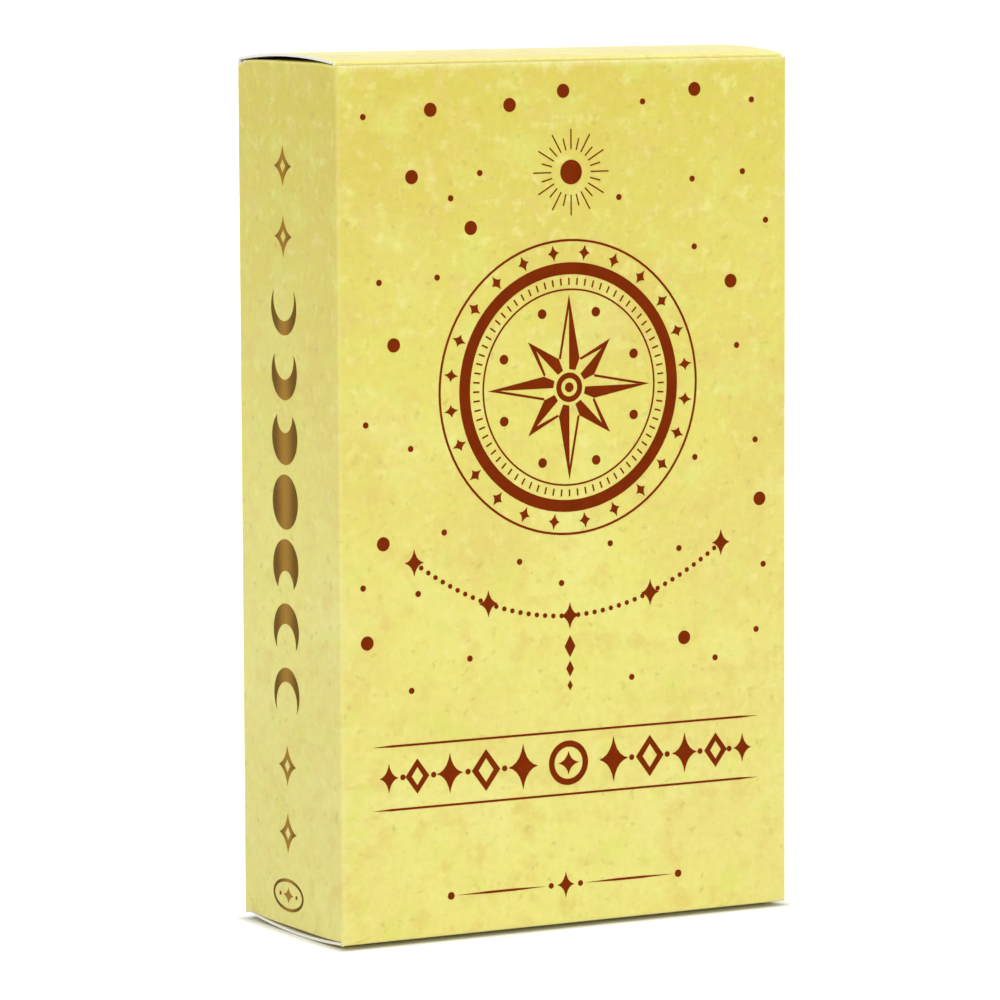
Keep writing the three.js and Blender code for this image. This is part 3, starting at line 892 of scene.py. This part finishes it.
class CARTON_OT_closures(bpy.types.Operator):
    """Folds the lid and the base, each with a tuck and two dust flaps"""

    bl_idname = "carton.closures"
    bl_label = "Lid and base"

    def execute(self, context):
        settings = context.scene.carton
        front, back = settings.base_front / MM, settings.base_back / MM
        sag = settings.base_sag / MM
        bow = (math.sqrt(front + sag) + math.sqrt(back + sag)) ** 2 / 4
        closures = (
            (upright, "lid", 0.0, 0.0, settings.lid_bow / MM, "top", FLAP_DROP),
            (turned, "base", front, back, bow, "base", BASE_FLAP_RISE),
        )
        for pose, panel, lift, far_lift, crown, end, drop in closures:
            self.panel_and_tuck(settings, pose, panel, lift, far_lift, crown)
            for side, sign in (("left", -1), ("right", 1)):
                self.flap(settings, pose, end, drop, side, sign)
        return {"FINISHED"}

    def panel_and_tuck(self, settings, pose, panel, lift, far_lift, crown):
        """A closure's panel and tuck. The lifts are how far its two folds stand in from the box's end."""
        thick, radius = settings.board / MM, settings.crease / MM
        top = panel == "lid"
        level, far_level = LID_FOLD - lift, LID_FOLD - far_lift
        tuck_fold = -HALF_DEPTH + thick + TUCK_SLIP
        tangent = radius * math.tan(math.radians(TUCK_TURN / 2))
        reach = HALF_DEPTH - radius - tuck_fold - tangent
        slope = math.degrees(math.atan(4 * crown / reach))
        tilt = math.degrees(math.atan((level - far_level) / reach))
        half = HALF_WIDTH - settings.end_gap / MM
        fold_half = half if top else HALF_WIDTH - thick - BASE_TUCK_GAP
        narrow_from = tuck_fold + settings.relief / MM - thick
        rise = 1 if top else -1
        root = RIM if top else radius + lift

        def place(depth, height, x):
            return pose(x, depth, height)

        def panel_sheet(along, x):
            across = BACK_START + SEAM - x if top else FRONT_START + HALF_WIDTH + x
            return across, root + rise * along

        path = FoldPath((HALF_DEPTH, level - radius), 90)
        path.fold(90 + tilt - slope, radius, panel, panel).face(180 + tilt)
        folded = path.at.x
        ends = narrow_from - tuck_fold - tangent
        near = (*HINGE_ROWS, -ends, STEP - ends)
        path.run(folded - tuck_fold - tangent, panel, pitch=2, crown=crown, near=near)
        reached = path.along

        def panel_edges(station):
            wide = half if station[0].x > narrow_from - STEP / 2 else fold_half
            return -wide, wide

        piece = board(f"{panel}_board", path, panel_edges, place, panel_sheet, settings)
        start, end = (spot(pose, 0, folded - share * HINGE_ROWS[0], level) for share in HINGE_BLEND)
        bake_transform(piece)
        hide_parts(f"{panel}_panel")

        path = FoldPath(path.at, 180 + tilt + slope)
        path.fold(TUCK_TURN - tilt - slope, radius, panel, panel)
        folded = path.along
        corner = settings.tuck_corner / MM
        path.run(settings.tuck / MM - tangent - corner, "tuck", pitch=1.5, near=(TUCK_ROW,))
        path.taper(corner, "tuck", steps=12)
        corner_start = path.along - corner

        def tuck_edges(station):
            along = station[2]
            free_half = TUCK_HALF - trim(corner, along - corner_start)
            wide = free_half if along > folded + TUCK_ROW / 2 else fold_half
            return -wide, wide

        def tuck_sheet(along, x):
            return panel_sheet(reached + along, x)

        piece = board(f"{panel}_tuck_board", path, tuck_edges, place, tuck_sheet, settings)
        start = spot(pose, 0, tuck_fold + radius, far_level)
        end = spot(pose, 0, tuck_fold, far_level - radius)
        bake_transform(piece)
        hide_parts(f"{panel}_tuck")

    def flap(self, settings, pose, end, drop, side, sign):
        """A dust flap of one side, drop millimetres in from the box's end."""
        radius = settings.flap_crease / MM
        level, top = LID_FOLD - drop, end == "top"
        facing = 1 if top else -1
        root = level - radius if top else drop + radius
        start = LEFT_START if side == "left" else RIGHT_START
        reached = level + fold_bow(settings, 0, top)
        path, edges = self.flap_outline(settings, side, level, top)

        def place(x, height, y):
            return pose(sign * x, y, height + fold_bow(settings, facing * y, top))

        def sheet(along, y):
            return start + HALF_DEPTH + sign * facing * y, root + facing * along

        piece = board(f"{end}_{side}_flap_board", path, edges, place, sheet, settings, pitch=1.0)
        spot(pose, sign * HALF_WIDTH, 0, reached - radius)
        spot(pose, sign * (HALF_WIDTH - radius), 0, reached)
        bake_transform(piece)
        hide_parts(f"{end}_{side}_dust_flap")

    def flap_outline(self, settings, side, level, top):
        """A dust flap's path from its fold to its tip, and its edges, which taper towards the tip."""
        radius = settings.flap_crease / MM
        shoulder, tip_radius, end_gap = 0.8, 3.0, 0.02
        near_inset, near_slope = 3.4, math.tan(math.radians(16))
        far_inset, far_slope = 1.8, math.tan(math.radians(25))
        front_end = HALF_DEPTH - settings.crease / MM - end_gap
        back_end = HALF_DEPTH - settings.relief / MM
        near_end, far_end = (front_end, back_end) if top else (back_end, front_end)
        path = FoldPath((HALF_WIDTH, level - radius), 90)
        path.fold(90, radius, side, side)
        arc = path.along
        path.run(shoulder, side, pitch=0.2)
        path.run(FLAP_REACH - radius - shoulder - tip_radius, side, pitch=2)
        path.taper(tip_radius, side, steps=10)
        tip_start = path.along - tip_radius

        def edges(station):
            along = station[2]
            inward = max(0.0, along - arc + radius)
            near = -HALF_DEPTH + near_inset + inward * near_slope
            far = HALF_DEPTH - far_inset - inward * far_slope
            share = min(1.0, max(0.0, (along - arc) / shoulder))
            share = share * share * (3 - 2 * share)
            near = -near_end + (near + near_end) * share
            far = far_end + (far - far_end) * share
            rounded = trim(tip_radius, along - tip_start)
            cut = min(1.0, along / arc)
            return near + rounded, far - rounded, cut, cut

        return path, edges


# The print. Places on a face are millimetres from the middle of its width and from the box's foot.

MEDALLION_AT = (0.3, 77.0)
SUN_AT = (0.7, 107.4)
GARLAND_AT = (0.3, 53.5)
GARLAND_REACH, GARLAND_SAG = 25.0, 9.0
DROP_AT = (0.3, 37.5)
BACK_CENTRE = 61.5
MOON_CENTRE = 61.2
MOON_MIDDLE = 1.2
BADGE_HEIGHT = 5.0

# The radius at which the phases of the moon are drawn, before they are brought to size.
MOON_DRAWN = 3.9


def repeated(tree, motif, name, **values):
    """The mesh of a tree that repeats a motif."""
    source = add_object(name, motif.mesh(name))
    mesh = run_tree(tree, {"Motif": source, **values})
    bpy.data.objects.remove(source)
    return mesh


def wreath(motif, name, ink, count, radius, turn=0.0):
    tree = bpy.data.node_groups.get("wreath") or wreath_tree()
    return repeated(tree, motif, name, Count=count, Radius=radius, Turn=turn, Material=ink)


def garland(motif, name, ink, count, reach, sag):
    tree = bpy.data.node_groups.get("garland") or garland_tree()
    return repeated(tree, motif, name, Count=count, Reach=reach, Sag=sag, Material=ink)


def ink_piece(name, meshes, ink):
    piece = add_object(name, join(name, meshes, ink))
    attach(piece, "sleeve")
    return piece


def front_ink():
    return bpy.data.materials.get("red-brown ink") or red_brown_ink(bpy.context.scene.carton_print)


def rule(motif, half, thick, at, tip=3.0):
    """A fine line whose ends run to points."""
    x, z = at
    lower = [(x - half + tip, z - thick), (x + half - tip, z - thick)]
    upper = [(x + half - tip, z + thick), (x - half + tip, z + thick)]
    motif.plate([(x - half, z), *lower, (x + half, z), *upper])


class CARTON_OT_medallion(bpy.types.Operator):
    """Prints a compass star in rings on the front, with a small sun above and a garland below"""

    bl_idname = "carton.medallion"
    bl_label = "Medallion"

    def execute(self, context):
        settings = context.scene.carton_print
        ink, high = front_ink(), settings.film / MM
        ink_piece("front_medallion", self.medallion(ink, high, settings.medallion / MM), ink)
        ink_piece("front_sun", self.sun(ink, high), ink)
        ink_piece("front_garland", self.hanging(ink, high), ink)
        return {"FINISHED"}

    def medallion(self, ink, high, outer):
        """Rings round a star of eight points, half dark and half light. Insets are from the outer radius."""
        rings = Motif(high)
        for rim, hole in ((0.0, 0.34), (3.3, 5.0), (7.0, 7.26)):
            rings.ring(outer - rim, outer - hole)
        rings.ring(2.1, 1.3, count=48).disc(0.7)
        parts = [rings.mesh("rings")]
        hub, shoulder, slant = 2.6, 4.4, math.pi / 8
        line, gap, tail = 0.34, 0.01, 1.9
        across, up = math.sin(slant), math.cos(slant)
        x, y = shoulder * across, shoulder * up
        for inset, turn in ((7.9, math.pi / 2), (11.6, math.pi / 4)):
            tall = outer - inset
            dark = Motif(high).plate([(0, hub), (hub * across, hub * up), (x, y), (0, tall)])
            parts.append(wreath(dark, "dark half", ink, 4, 0.0, turn))
            light = Motif(high).plate([(-x, y), (line - x, y), (-gap, tall - tail), (-gap, tall)])
            parts.append(wreath(light, "light half", ink, 4, 0.0, turn))
        gem = Motif(high).plate(sparkle(1.15, 0.9, 0.2, 3))
        tick = Motif(high).plate(bar(0.24, 1.0))
        bead = Motif(high).disc(0.7, count=16)
        wreaths = (
            (gem, "gem", 24, 1.85, math.pi / 24),
            (tick, "tick", 72, 6.0, 0.0),
            (bead, "bead", 8, 9.6, math.pi / 8),
        )
        for motif, name, count, inset, turn in wreaths:
            parts.append(wreath(motif, name, ink, count, outer - inset, turn))
        return [lay_on("front", part, MEDALLION_AT) for part in parts]

    def sun(self, ink, high):
        """A disc with long and short rays."""
        rays_from = 3.2
        parts = [Motif(high).disc(1.75, count=40).mesh("sun")]
        for tall, turn in ((2.9, 0.0), (1.7, math.pi / 12)):
            ray = Motif(high).plate(bar(0.2, tall))
            parts.append(wreath(ray, "ray", ink, 12, rays_from + tall / 2, turn))
        return [lay_on("front", part, SUN_AT) for part in parts]

    def hanging(self, ink, high):
        """A garland of beads and stars, with a drop of three diamonds."""
        bead = Motif(high).disc(0.36, count=12)
        star = Motif(1.5 * high).plate(sparkle(1.9, 1.5, 0.3))
        parts = [
            garland(motif, name, ink, count, GARLAND_REACH, GARLAND_SAG)
            for motif, name, count in ((bead, "bead", 41), (star, "star", 5))
        ]
        drop, slim = Motif(high), 0.55
        for tall, z in ((1.6, -13.4), (1.15, -16.6), (0.75, -19.0)):
            drop.plate(diamond(tall, tall * slim, (0, z)))
        parts.append(drop.mesh("drop"))
        return [lay_on("front", part, GARLAND_AT) for part in parts]


class CARTON_OT_dividers(bpy.types.Operator):
    """Prints two ornamental dividers low on the front"""

    bl_idname = "carton.dividers"
    bl_label = "Dividers"

    def execute(self, context):
        ink = front_ink()
        high = context.scene.carton_print.film / MM
        ink_piece("front_divider", [lay_on("front", self.upper(high).mesh("divider"))], ink)
        ink_piece("front_lower_rule", [lay_on("front", self.lower(high).mesh("rule"))], ink)
        return {"FINISHED"}

    def upper(self, high):
        """A row of stars, open diamonds and beads between two rules."""
        middle, bead = 23.4, 0.42
        stars = ((7.4, 3.3, 2.4, 0.45), (19.2, 2.9, 2.1, 0.4), (28.9, 2.1, 1.5, 0.3))
        diamonds = ((13.4, (3.0, 2.3), (1.7, 1.2)), (24.4, (2.5, 1.9), (1.3, 0.9)))
        band = Motif(high)
        for z in (-4.5, 4.5):
            rule(band, half=31.5, thick=0.16, at=(0, middle + z))
        band.ring(3.2, 2.3, (0, middle), 48).plate(sparkle(1.7, 1.7, 0.3, at=(0, middle)))
        for side in (-1, 1):
            for x, tall, wide, waist in stars:
                band.plate(sparkle(tall, wide, waist, at=(side * x, middle)))
            for x, rim, hole in diamonds:
                band.band(diamond(*rim, (side * x, middle)), diamond(*hole, (side * x, middle)))
            for x in (10.4, 16.3, 21.8, 26.7):
                band.disc(bead, (side * x, middle), 14)
        return band

    def lower(self, high):
        """One fine rule, broken by a star and ended by beads."""
        middle, low = -0.5, 5.9
        line = Motif(high).plate(sparkle(1.9, 1.4, 0.25, at=(middle, low)))
        for side in (-1, 1):
            rule(line, half=7.2, thick=0.17, at=(middle + side * 10.4, low), tip=5.0)
            line.disc(0.42, (middle + side * 2.4, low), 14)
            line.disc(0.55, (middle + side * 18.6, low), 16)
        return line


class CARTON_OT_dots(bpy.types.Operator):
    """Scatters small and large dots over the front, clear of its other print"""

    bl_idname = "carton.dots"
    bl_label = "Scattered dots"

    def execute(self, context):
        settings = context.scene.carton_print
        ink = front_ink()
        places, sizes = self.scatter(settings.dots, settings.medallion / MM)
        mesh = bpy.data.meshes.new("dot places")
        mesh.from_pydata([(x, z, 0) for x, z in places], [], [])
        mesh.attributes.new("size", "FLOAT", "POINT").data.foreach_set("value", sizes)
        cloud = add_object("dot places", mesh)
        dot = Motif(settings.film / MM).disc(1.0, count=28)
        made = repeated(scatter_tree(), dot, "dot", Cloud=cloud, Material=ink)
        bpy.data.objects.remove(cloud)
        ink_piece("front_dots", [lay_on("front", made)], ink)
        return {"FINISHED"}

    def taken(self, at, medallion):
        """Whether a place is on the other print or too near it."""
        clear = ((MEDALLION_AT, medallion + 2.0), (SUN_AT, 7.5), (DROP_AT, 6.5))
        clear_above, clear_beside = 3.2, 2.0
        if any(math.dist(at, centre) < radius for centre, radius in clear):
            return True
        hang = at[1] - GARLAND_AT[1] + GARLAND_SAG * (1 - (at[0] / GARLAND_REACH) ** 2)
        return abs(hang) < clear_above and abs(at[0]) < GARLAND_REACH + clear_beside

    def scatter(self, count, medallion):
        """Places and radii of the dots. Each takes the roomiest of some random places."""
        chance = random.Random(31)
        tries, left, right, low, high = 14, -33, 33, 33, 119
        large, small = 1.0, 0.44
        places = []
        while len(places) < count:
            best = None
            for _ in range(tries):
                at = (chance.uniform(left, right), chance.uniform(low, high))
                if self.taken(at, medallion):
                    continue
                room = min((math.dist(at, other) for other in places), default=math.inf)
                if best is None or room > best[0]:
                    best = (room, at)
            if best is not None:
                places.append(best[1])
        sizes = [large if i % 7 in (0, 3) else small for i in range(count)]
        return places, sizes


class CARTON_OT_moons(bpy.types.Operator):
    """Prints a column of moon phases and sparkles on both sides"""

    bl_idname = "carton.moons"
    bl_label = "Moon columns"

    def execute(self, context):
        settings = context.scene.carton_print
        ink = bronze_ink(settings, MOON_MIDDLE)
        for face, across in (("left", -MOON_MIDDLE), ("right", MOON_MIDDLE)):
            column = self.column(settings, across)
            if face == "left":
                self.badge(column, across)
            ink_piece(f"{face}_moon_column", [lay_on(face, column.mesh("column"))], ink)
        return {"FINISHED"}

    def column(self, settings, across):
        """A full moon, three phases above and below it, and two sparkles at each end."""
        radius, pitch = settings.moon / MM, settings.moon_pitch / MM
        scale = radius / MOON_DRAWN
        column = Motif(settings.film / MM).disc(radius, (across, MOON_CENTRE), 64)
        for step, thick, bite in ((1, 4.5, 2.4), (2, 2.9, 3.0), (3, 2.0, 3.25)):
            for turn in (1, -1):
                at = (across, MOON_CENTRE + turn * step * pitch)
                crescent(column, radius, thick * scale, bite * scale, turn, at)
        for z in (108.6, 98.7, 23.6, 13.9):
            column.band(sparkle(2.85, 2.6, 0.62, 6, (across, z)), sparkle(0.98, 0.86, 0.42, 6, (across, z)))
        return column

    def badge(self, column, across):
        """An oval ring with a star and two dots."""
        at = (across, BADGE_HEIGHT)
        column.band(circle(4.7, at, 64, 0.5), circle(4.2, at, 64, 0.45))
        column.plate(sparkle(1.15, 1.5, 0.28, at=at))
        for side in (-1, 1):
            column.disc(0.3, (across + side * 2.5, BADGE_HEIGHT), 12)


class CARTON_OT_back_print(bpy.types.Operator):
    """Prints a fine frame and a small star on the back"""

    bl_idname = "carton.back_print"
    bl_label = "Back frame"

    def execute(self, context):
        ink = front_ink()
        high = context.scene.carton_print.film / MM
        centre = (0, BACK_CENTRE)
        lines = Motif(high)
        for half_wide, half_tall, line in ((32.0, 56.5, 0.45), (30.6, 55.1, 0.2)):
            lines.band(*(self.corners(half_wide - inset, half_tall - inset) for inset in (0, line)))
        for at in self.corners(26.6, 51.0):
            lines.plate(sparkle(2.2, 2.2, 0.35, at=at))
        lines.ring(7.4, 7.0, centre).ring(5.9, 5.7, centre).plate(sparkle(5.2, 5.2, 0.8, at=centre))
        gems = wreath(Motif(high).plate(diamond(0.9, 0.45)), "gem", ink, 16, 8.9)
        parts = [lay_on("back", lines.mesh("frame")), lay_on("back", gems, centre)]
        ink_piece("back_frame", parts, ink)
        return {"FINISHED"}

    def corners(self, half_wide, half_tall):
        """Corners of an oblong about the back's centre."""
        turns = ((1, 1), (-1, 1), (-1, -1), (1, -1))
        return [(x * half_wide, BACK_CENTRE + z * half_tall) for x, z in turns]


# Cards and guidebook.


def card_border(graph, place, margin):
    """Below 0 inside a margin from the card's edge, in metres."""
    middle, half = (CARD_LOW + CARD_HIGH) / 2, (CARD_HIGH - CARD_LOW) / 2
    x, _, z = graph.split(place)
    z = graph.math("SUBTRACT", z, middle.z * MM)
    wide = graph.math("SUBTRACT", graph.math("ABSOLUTE", x), (half.x - margin) * MM)
    tall = graph.math("SUBTRACT", graph.math("ABSOLUTE", z), (half.z - margin) * MM)
    return graph.math("MAXIMUM", wide, tall)


def varnish(graph, shader, place, tone):
    """Gives a card's printed face its sheen and fine grain."""
    grain = graph.bump(graph.noise(place, 1400, 1), 0.00002, 0.3)
    connect(graph, shader, Base_Color=tone, Roughness=0.34, Normal=grain)


def card_edge(settings):
    """Cut edge, with streaks along the layers of the stock."""
    material, graph, shader = finish("card edge")
    layers = graph.stretched(object_place(graph), (300, 9000, 300))
    tone = graph.shade(graph.scaled(layers, 0.2, 0.85), settings.edge)
    connect(graph, shader, Base_Color=tone, Roughness=0.7)
    return material


def card_face(settings):
    """Pale face with one fine line round it."""
    material, graph, shader = finish("card face")
    place = object_place(graph)
    margin = 4.5
    line = graph.rise(graph.math("ABSOLUTE", card_border(graph, place, margin)), 0.0004, 0.0003)
    tone = graph.mix(graph.noise(place, 60, 3), settings.face, settings.edge)
    varnish(graph, shader, place, graph.mix(line, tone, settings.back))
    return material


def card_back(settings):
    """Red-brown back with a slanted lattice and a pale border."""
    material, graph, shader = finish("card back")
    place = object_place(graph)
    x, _, z = graph.split(place)
    lattice_pitch, margin = 0.005, 4.0
    lattice = []
    for sign in (1.0, -1.0):
        slant = graph.math("MULTIPLY", graph.math("MULTIPLY_ADD", z, sign, x), math.pi / lattice_pitch)
        lattice.append(graph.math("ABSOLUTE", graph.math("SINE", slant)))
    lines = graph.rise(graph.math("MINIMUM", *lattice), 0.16, 0.1, 0.55)
    tone = graph.mix(lines, settings.back, settings.face)
    tone = graph.mix(graph.rise(card_border(graph, place, margin), -0.00005, 0.00005), tone, settings.face)
    tone = graph.shade(graph.scaled(graph.noise(place, 500, 3), 0.2, 0.88), tone)
    varnish(graph, shader, place, tone)
    return material


class CARTON_OT_cards(bpy.types.Operator):
    """Stacks the trumps and the four suits, card by card"""

    bl_idname = "carton.cards"
    bl_label = "Cards"

    def execute(self, context):
        settings = context.scene.deck
        source = add_object("card", self.card(settings.corner / MM, settings.thickness / MM))
        shared = {
            "Card": source, "Stray": settings.stray, "Lift": settings.lift,
            "Edge": card_edge(settings), "Face": card_face(settings), "Back": card_back(settings),
        }
        tree = stack_tree()
        pitch = span(TRUMPS[1])[0].y - span(TRUMPS[0])[0].y
        packets = [("trumps", TRUMPS, len(TRUMPS))]
        for suit in SUITS:
            low, high = span(suit)
            packets.append((suit, [suit], round((high.y - low.y) / pitch)))
        for seed, (name, nodes, count) in enumerate(packets):
            own = {"Count": count, "Start": span(nodes[0])[0].y * MM, "Pitch": pitch * MM, "Seed": seed}
            piece = add_object(f"{name}_cards", run_tree(tree, {**shared, **own}))
            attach(piece, "deck")
            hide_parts(*nodes)
        bpy.data.objects.remove(source)
        return {"FINISHED"}

    def card(self, radius, thick, steps=6):
        """One upright card with round corners, its face to the front at depth 0."""
        outline = []
        for x, z, start in ((1, 1, 0), (-1, 1, 90), (-1, -1, 180), (1, -1, 270)):
            across = (CARD_HIGH.x - radius) * x
            up = (CARD_HIGH.z if z > 0 else CARD_LOW.z) - z * radius
            for i in range(steps + 1):
                turn = math.radians(start + 90 * i / steps)
                outline.append((across + radius * math.cos(turn), up + radius * math.sin(turn)))
        card = Motif(thick, low=0.0).plate(outline).mesh("card")
        stand = Matrix(((1, 0, 0, 0), (0, 0, -1, thick), (0, 1, 0, 0), (0, 0, 0, 1)))
        card.transform(Matrix.Scale(MM, 4) @ stand)
        return card


def cover_stock(settings):
    """Mottled cover of the guidebook, lightly coated."""
    material, graph, shader = finish("cover stock")
    place = object_place(graph)
    tone = graph.blotches(settings.cover, settings.face, place, 45, 0.4, 0.7, 0.6, roughness=0.5)
    tone = graph.shade(graph.scaled(graph.noise(place, 1900, 3, 0.7), 0.1, 0.94), tone)
    grain = graph.bump(graph.noise(place, 1200, 2), 0.00002, 0.4)
    connect(graph, shader, Base_Color=tone, Roughness=0.45, Normal=grain)
    return material


def page_stock(settings):
    """Uncoated sheets of the guidebook, with fibres."""
    material, graph, shader = finish("page stock")
    fibres = graph.noise(object_place(graph), 2200, 4, 0.7)
    tone = graph.mix(graph.rise(fibres, 0.3, 0.8, 0.5), settings.page, settings.face)
    connect(graph, shader, Base_Color=tone, Roughness=0.85, Normal=graph.bump(fibres, 0.00002, 0.5))
    return material


def staple_steel(settings):
    """Drawn wire with streaks along its upright length."""
    material, graph, shader = finish("staple steel")
    streaks = graph.stretched(object_place(graph), (9000, 9000, 300))
    tone = graph.shade(graph.scaled(streaks, 0.3, 0.8), settings.steel)
    connect(graph, shader, Base_Color=tone, Metallic=1.0, Roughness=graph.scaled(streaks, 0.2, 0.22))
    return material


class CARTON_OT_guidebook(bpy.types.Operator):
    """Gives the guidebook's cover, sheets and staples their finishes"""

    bl_idname = "carton.guidebook"
    bl_label = "Guidebook"

    def execute(self, context):
        settings = context.scene.deck
        cover, page, steel = cover_stock(settings), page_stock(settings), staple_steel(settings)
        for name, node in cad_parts.items():
            if name.startswith("guidebook_"):
                chosen = cover if name.endswith("cover") else steel if name.endswith("staple") else page
                for slot in node.material_slots:
                    slot.material = chosen
        return {"FINISHED"}


# The stage. Lamps have a place and a size in metres, and the gap under the box is in millimetres.

LAMPS = (
    ("key", (0.42, -1.05, 0.16), 0.9),
    ("fill", (-0.8, -0.3, 0.95), 0.6),
    ("top", (0.05, -0.1, 1.15), 0.9),
)
LAMP_AIM = (0, 0, 0.06)
FLOOR_REACH = 6
FLOOR_GAP = 0.02

# How far from the box the floor's glow starts and stops to rise, and how much glow follows: less glow near
# the box paints a shadow round and under it.
PAINTED_CONTACT_SHADOW = (0.0, 0.0022, 0.4)
PAINTED_SOFT_SHADOW = (0.04, 0.45, 0.6)


class CARTON_OT_stage(bpy.types.Operator):
    """Sets the floor, the white surroundings, the lamps and the camera"""

    bl_idname = "carton.stage"
    bl_label = "Stage"

    def execute(self, context):
        scene, settings = context.scene, context.scene.stage
        scene.view_settings.view_transform = "Standard"
        scene.world = self.surroundings(settings)
        self.floor(settings, scene.carton.base_sag + FLOOR_GAP * MM)
        for name, place, size in LAMPS:
            self.lamp(name, getattr(settings, name), place, size)
        scene.camera = self.camera(settings)
        return {"FINISHED"}

    def seen(self, graph):
        """1 for what the camera, a mirror or a lens sees."""
        path = graph.add("ShaderNodeLightPath").outputs
        through = graph.math("MAXIMUM", path["Is Glossy Ray"], path["Is Transmission Ray"])
        return graph.math("MAXIMUM", path["Is Camera Ray"], through)

    def surroundings(self, settings):
        """Even light from all round that is seen as white."""
        world = bpy.data.worlds.new("surroundings")
        world.use_nodes = True
        world.node_tree.nodes.clear()
        graph = Graph(world.node_tree)
        light, white = (
            graph.add("ShaderNodeBackground", {"Color": (1, 1, 1, 1), "Strength": strength}).outputs[0]
            for strength in (settings.sky, 1.0)
        )
        both = graph.add("ShaderNodeMixShader", {0: self.seen(graph), 1: light, 2: white}).outputs[0]
        graph.add("ShaderNodeOutputWorld", {"Surface": both})
        return world

    def floor(self, settings, depth):
        """A pale floor that is seen as white further off; its glow fades out near the box, which paints a
        darker shadow there.
        """
        turns = ((-1, -1), (1, -1), (1, 1), (-1, 1))
        corners = [(x * FLOOR_REACH, y * FLOOR_REACH, -depth) for x, y in turns]
        mesh = bpy.data.meshes.new("floor")
        mesh.from_pydata(corners, [], [(0, 1, 2, 3)])
        floor = add_object("floor", mesh)
        material = bpy.data.materials.new("pale floor")
        material.use_nodes = True
        material.node_tree.nodes.clear()
        graph = Graph(material.node_tree)
        matt = graph.add("ShaderNodeBsdfDiffuse", {"Color": opaque(settings.floor)}).outputs[0]
        place = graph.vector("ABSOLUTE", object_place(graph))
        foot = (HALF_WIDTH * MM, HALF_DEPTH * MM, depth)
        outside = graph.vector("MAXIMUM", graph.vector("SUBTRACT", place, foot), (0, 0, 0))
        gap = graph.vector("LENGTH", outside, output="Value")
        # Painted shadow: the floor glows less near the box and not at all under it.
        white = graph.math("ADD", graph.rise(gap, *PAINTED_SOFT_SHADOW), graph.rise(gap, *PAINTED_CONTACT_SHADOW))
        glow_with_painted_shadow = graph.add("ShaderNodeEmission", {"Strength": graph.math("MULTIPLY", self.seen(graph), white)})
        both = graph.add("ShaderNodeAddShader", {0: matt, 1: glow_with_painted_shadow.outputs[0]}).outputs[0]
        graph.add("ShaderNodeOutputMaterial", {"Surface": both})
        mesh.materials.append(material)

    def lamp(self, name, power, place, size):
        data = bpy.data.lights.new(name, "AREA")
        data.energy, data.size = power, size
        lamp = add_object(name, data)
        aim = (Vector(LAMP_AIM) - Vector(place)).to_track_quat("-Z", "Y").to_matrix().to_4x4()
        lamp.matrix_world = Matrix.Translation(place) @ aim

    def camera(self, settings):
        data = bpy.data.cameras.new("camera")
        data.lens, data.sensor_width, data.clip_start = settings.lens, 36, 0.01
        camera = add_object("camera", data)
        turn, rise = settings.azimuth, settings.elevation
        level = math.cos(rise)
        back = Vector((math.sin(turn) * level, -math.cos(turn) * level, math.sin(rise)))
        aim = (-back).to_track_quat("-Z", "Y").to_matrix().to_4x4()
        place = Vector(settings.target) + back * settings.distance
        camera.matrix_world = Matrix.Translation(place) @ aim @ Matrix.Rotation(settings.roll, 4, "Z")
        return camera


class CARTON_PT_panel(bpy.types.Panel):
    """Lists the settings and the steps"""

    bl_idname = "CARTON_PT_panel"
    bl_label = "Card box"
    bl_space_type = "VIEW_3D"
    bl_region_type = "UI"
    bl_category = "Card box"

    def draw(self, context):
        for label, name, _ in GROUPS:
            box = self.layout.box()
            box.label(text=label)
            group = getattr(context.scene, name)
            for setting in group.__annotations__:
                box.prop(group, setting)
        for step in STEPS:
            self.layout.operator(step.bl_idname)


GROUPS = (
    ("Carton", "carton", CartonSettings),
    ("Print", "carton_print", PrintSettings),
    ("Deck", "deck", DeckSettings),
    ("Stage", "stage", StageSettings),
)
STEPS = (
    CARTON_OT_stage, CARTON_OT_sleeve, CARTON_OT_closures, CARTON_OT_medallion, CARTON_OT_dividers,
    CARTON_OT_dots, CARTON_OT_moons, CARTON_OT_back_print, CARTON_OT_cards, CARTON_OT_guidebook,
)


def register():
    for _, name, group in GROUPS:
        bpy.utils.register_class(group)
        setattr(bpy.types.Scene, name, PointerProperty(type=group))
    for step in STEPS:
        bpy.utils.register_class(step)
    bpy.utils.register_class(CARTON_PT_panel)


def unregister():
    bpy.utils.unregister_class(CARTON_PT_panel)
    for step in reversed(STEPS):
        bpy.utils.unregister_class(step)
    for _, name, group in reversed(GROUPS):
        delattr(bpy.types.Scene, name)
        bpy.utils.unregister_class(group)


def main():
    register()
    bpy.ops.carton.stage()
    bpy.ops.carton.sleeve()
    bpy.ops.carton.closures()
    bpy.ops.carton.medallion()
    bpy.ops.carton.dividers()
    bpy.ops.carton.dots()
    bpy.ops.carton.moons()
    bpy.ops.carton.back_print()
    bpy.ops.carton.cards()
    bpy.ops.carton.guidebook()


if __name__ == "__main__":
    main()
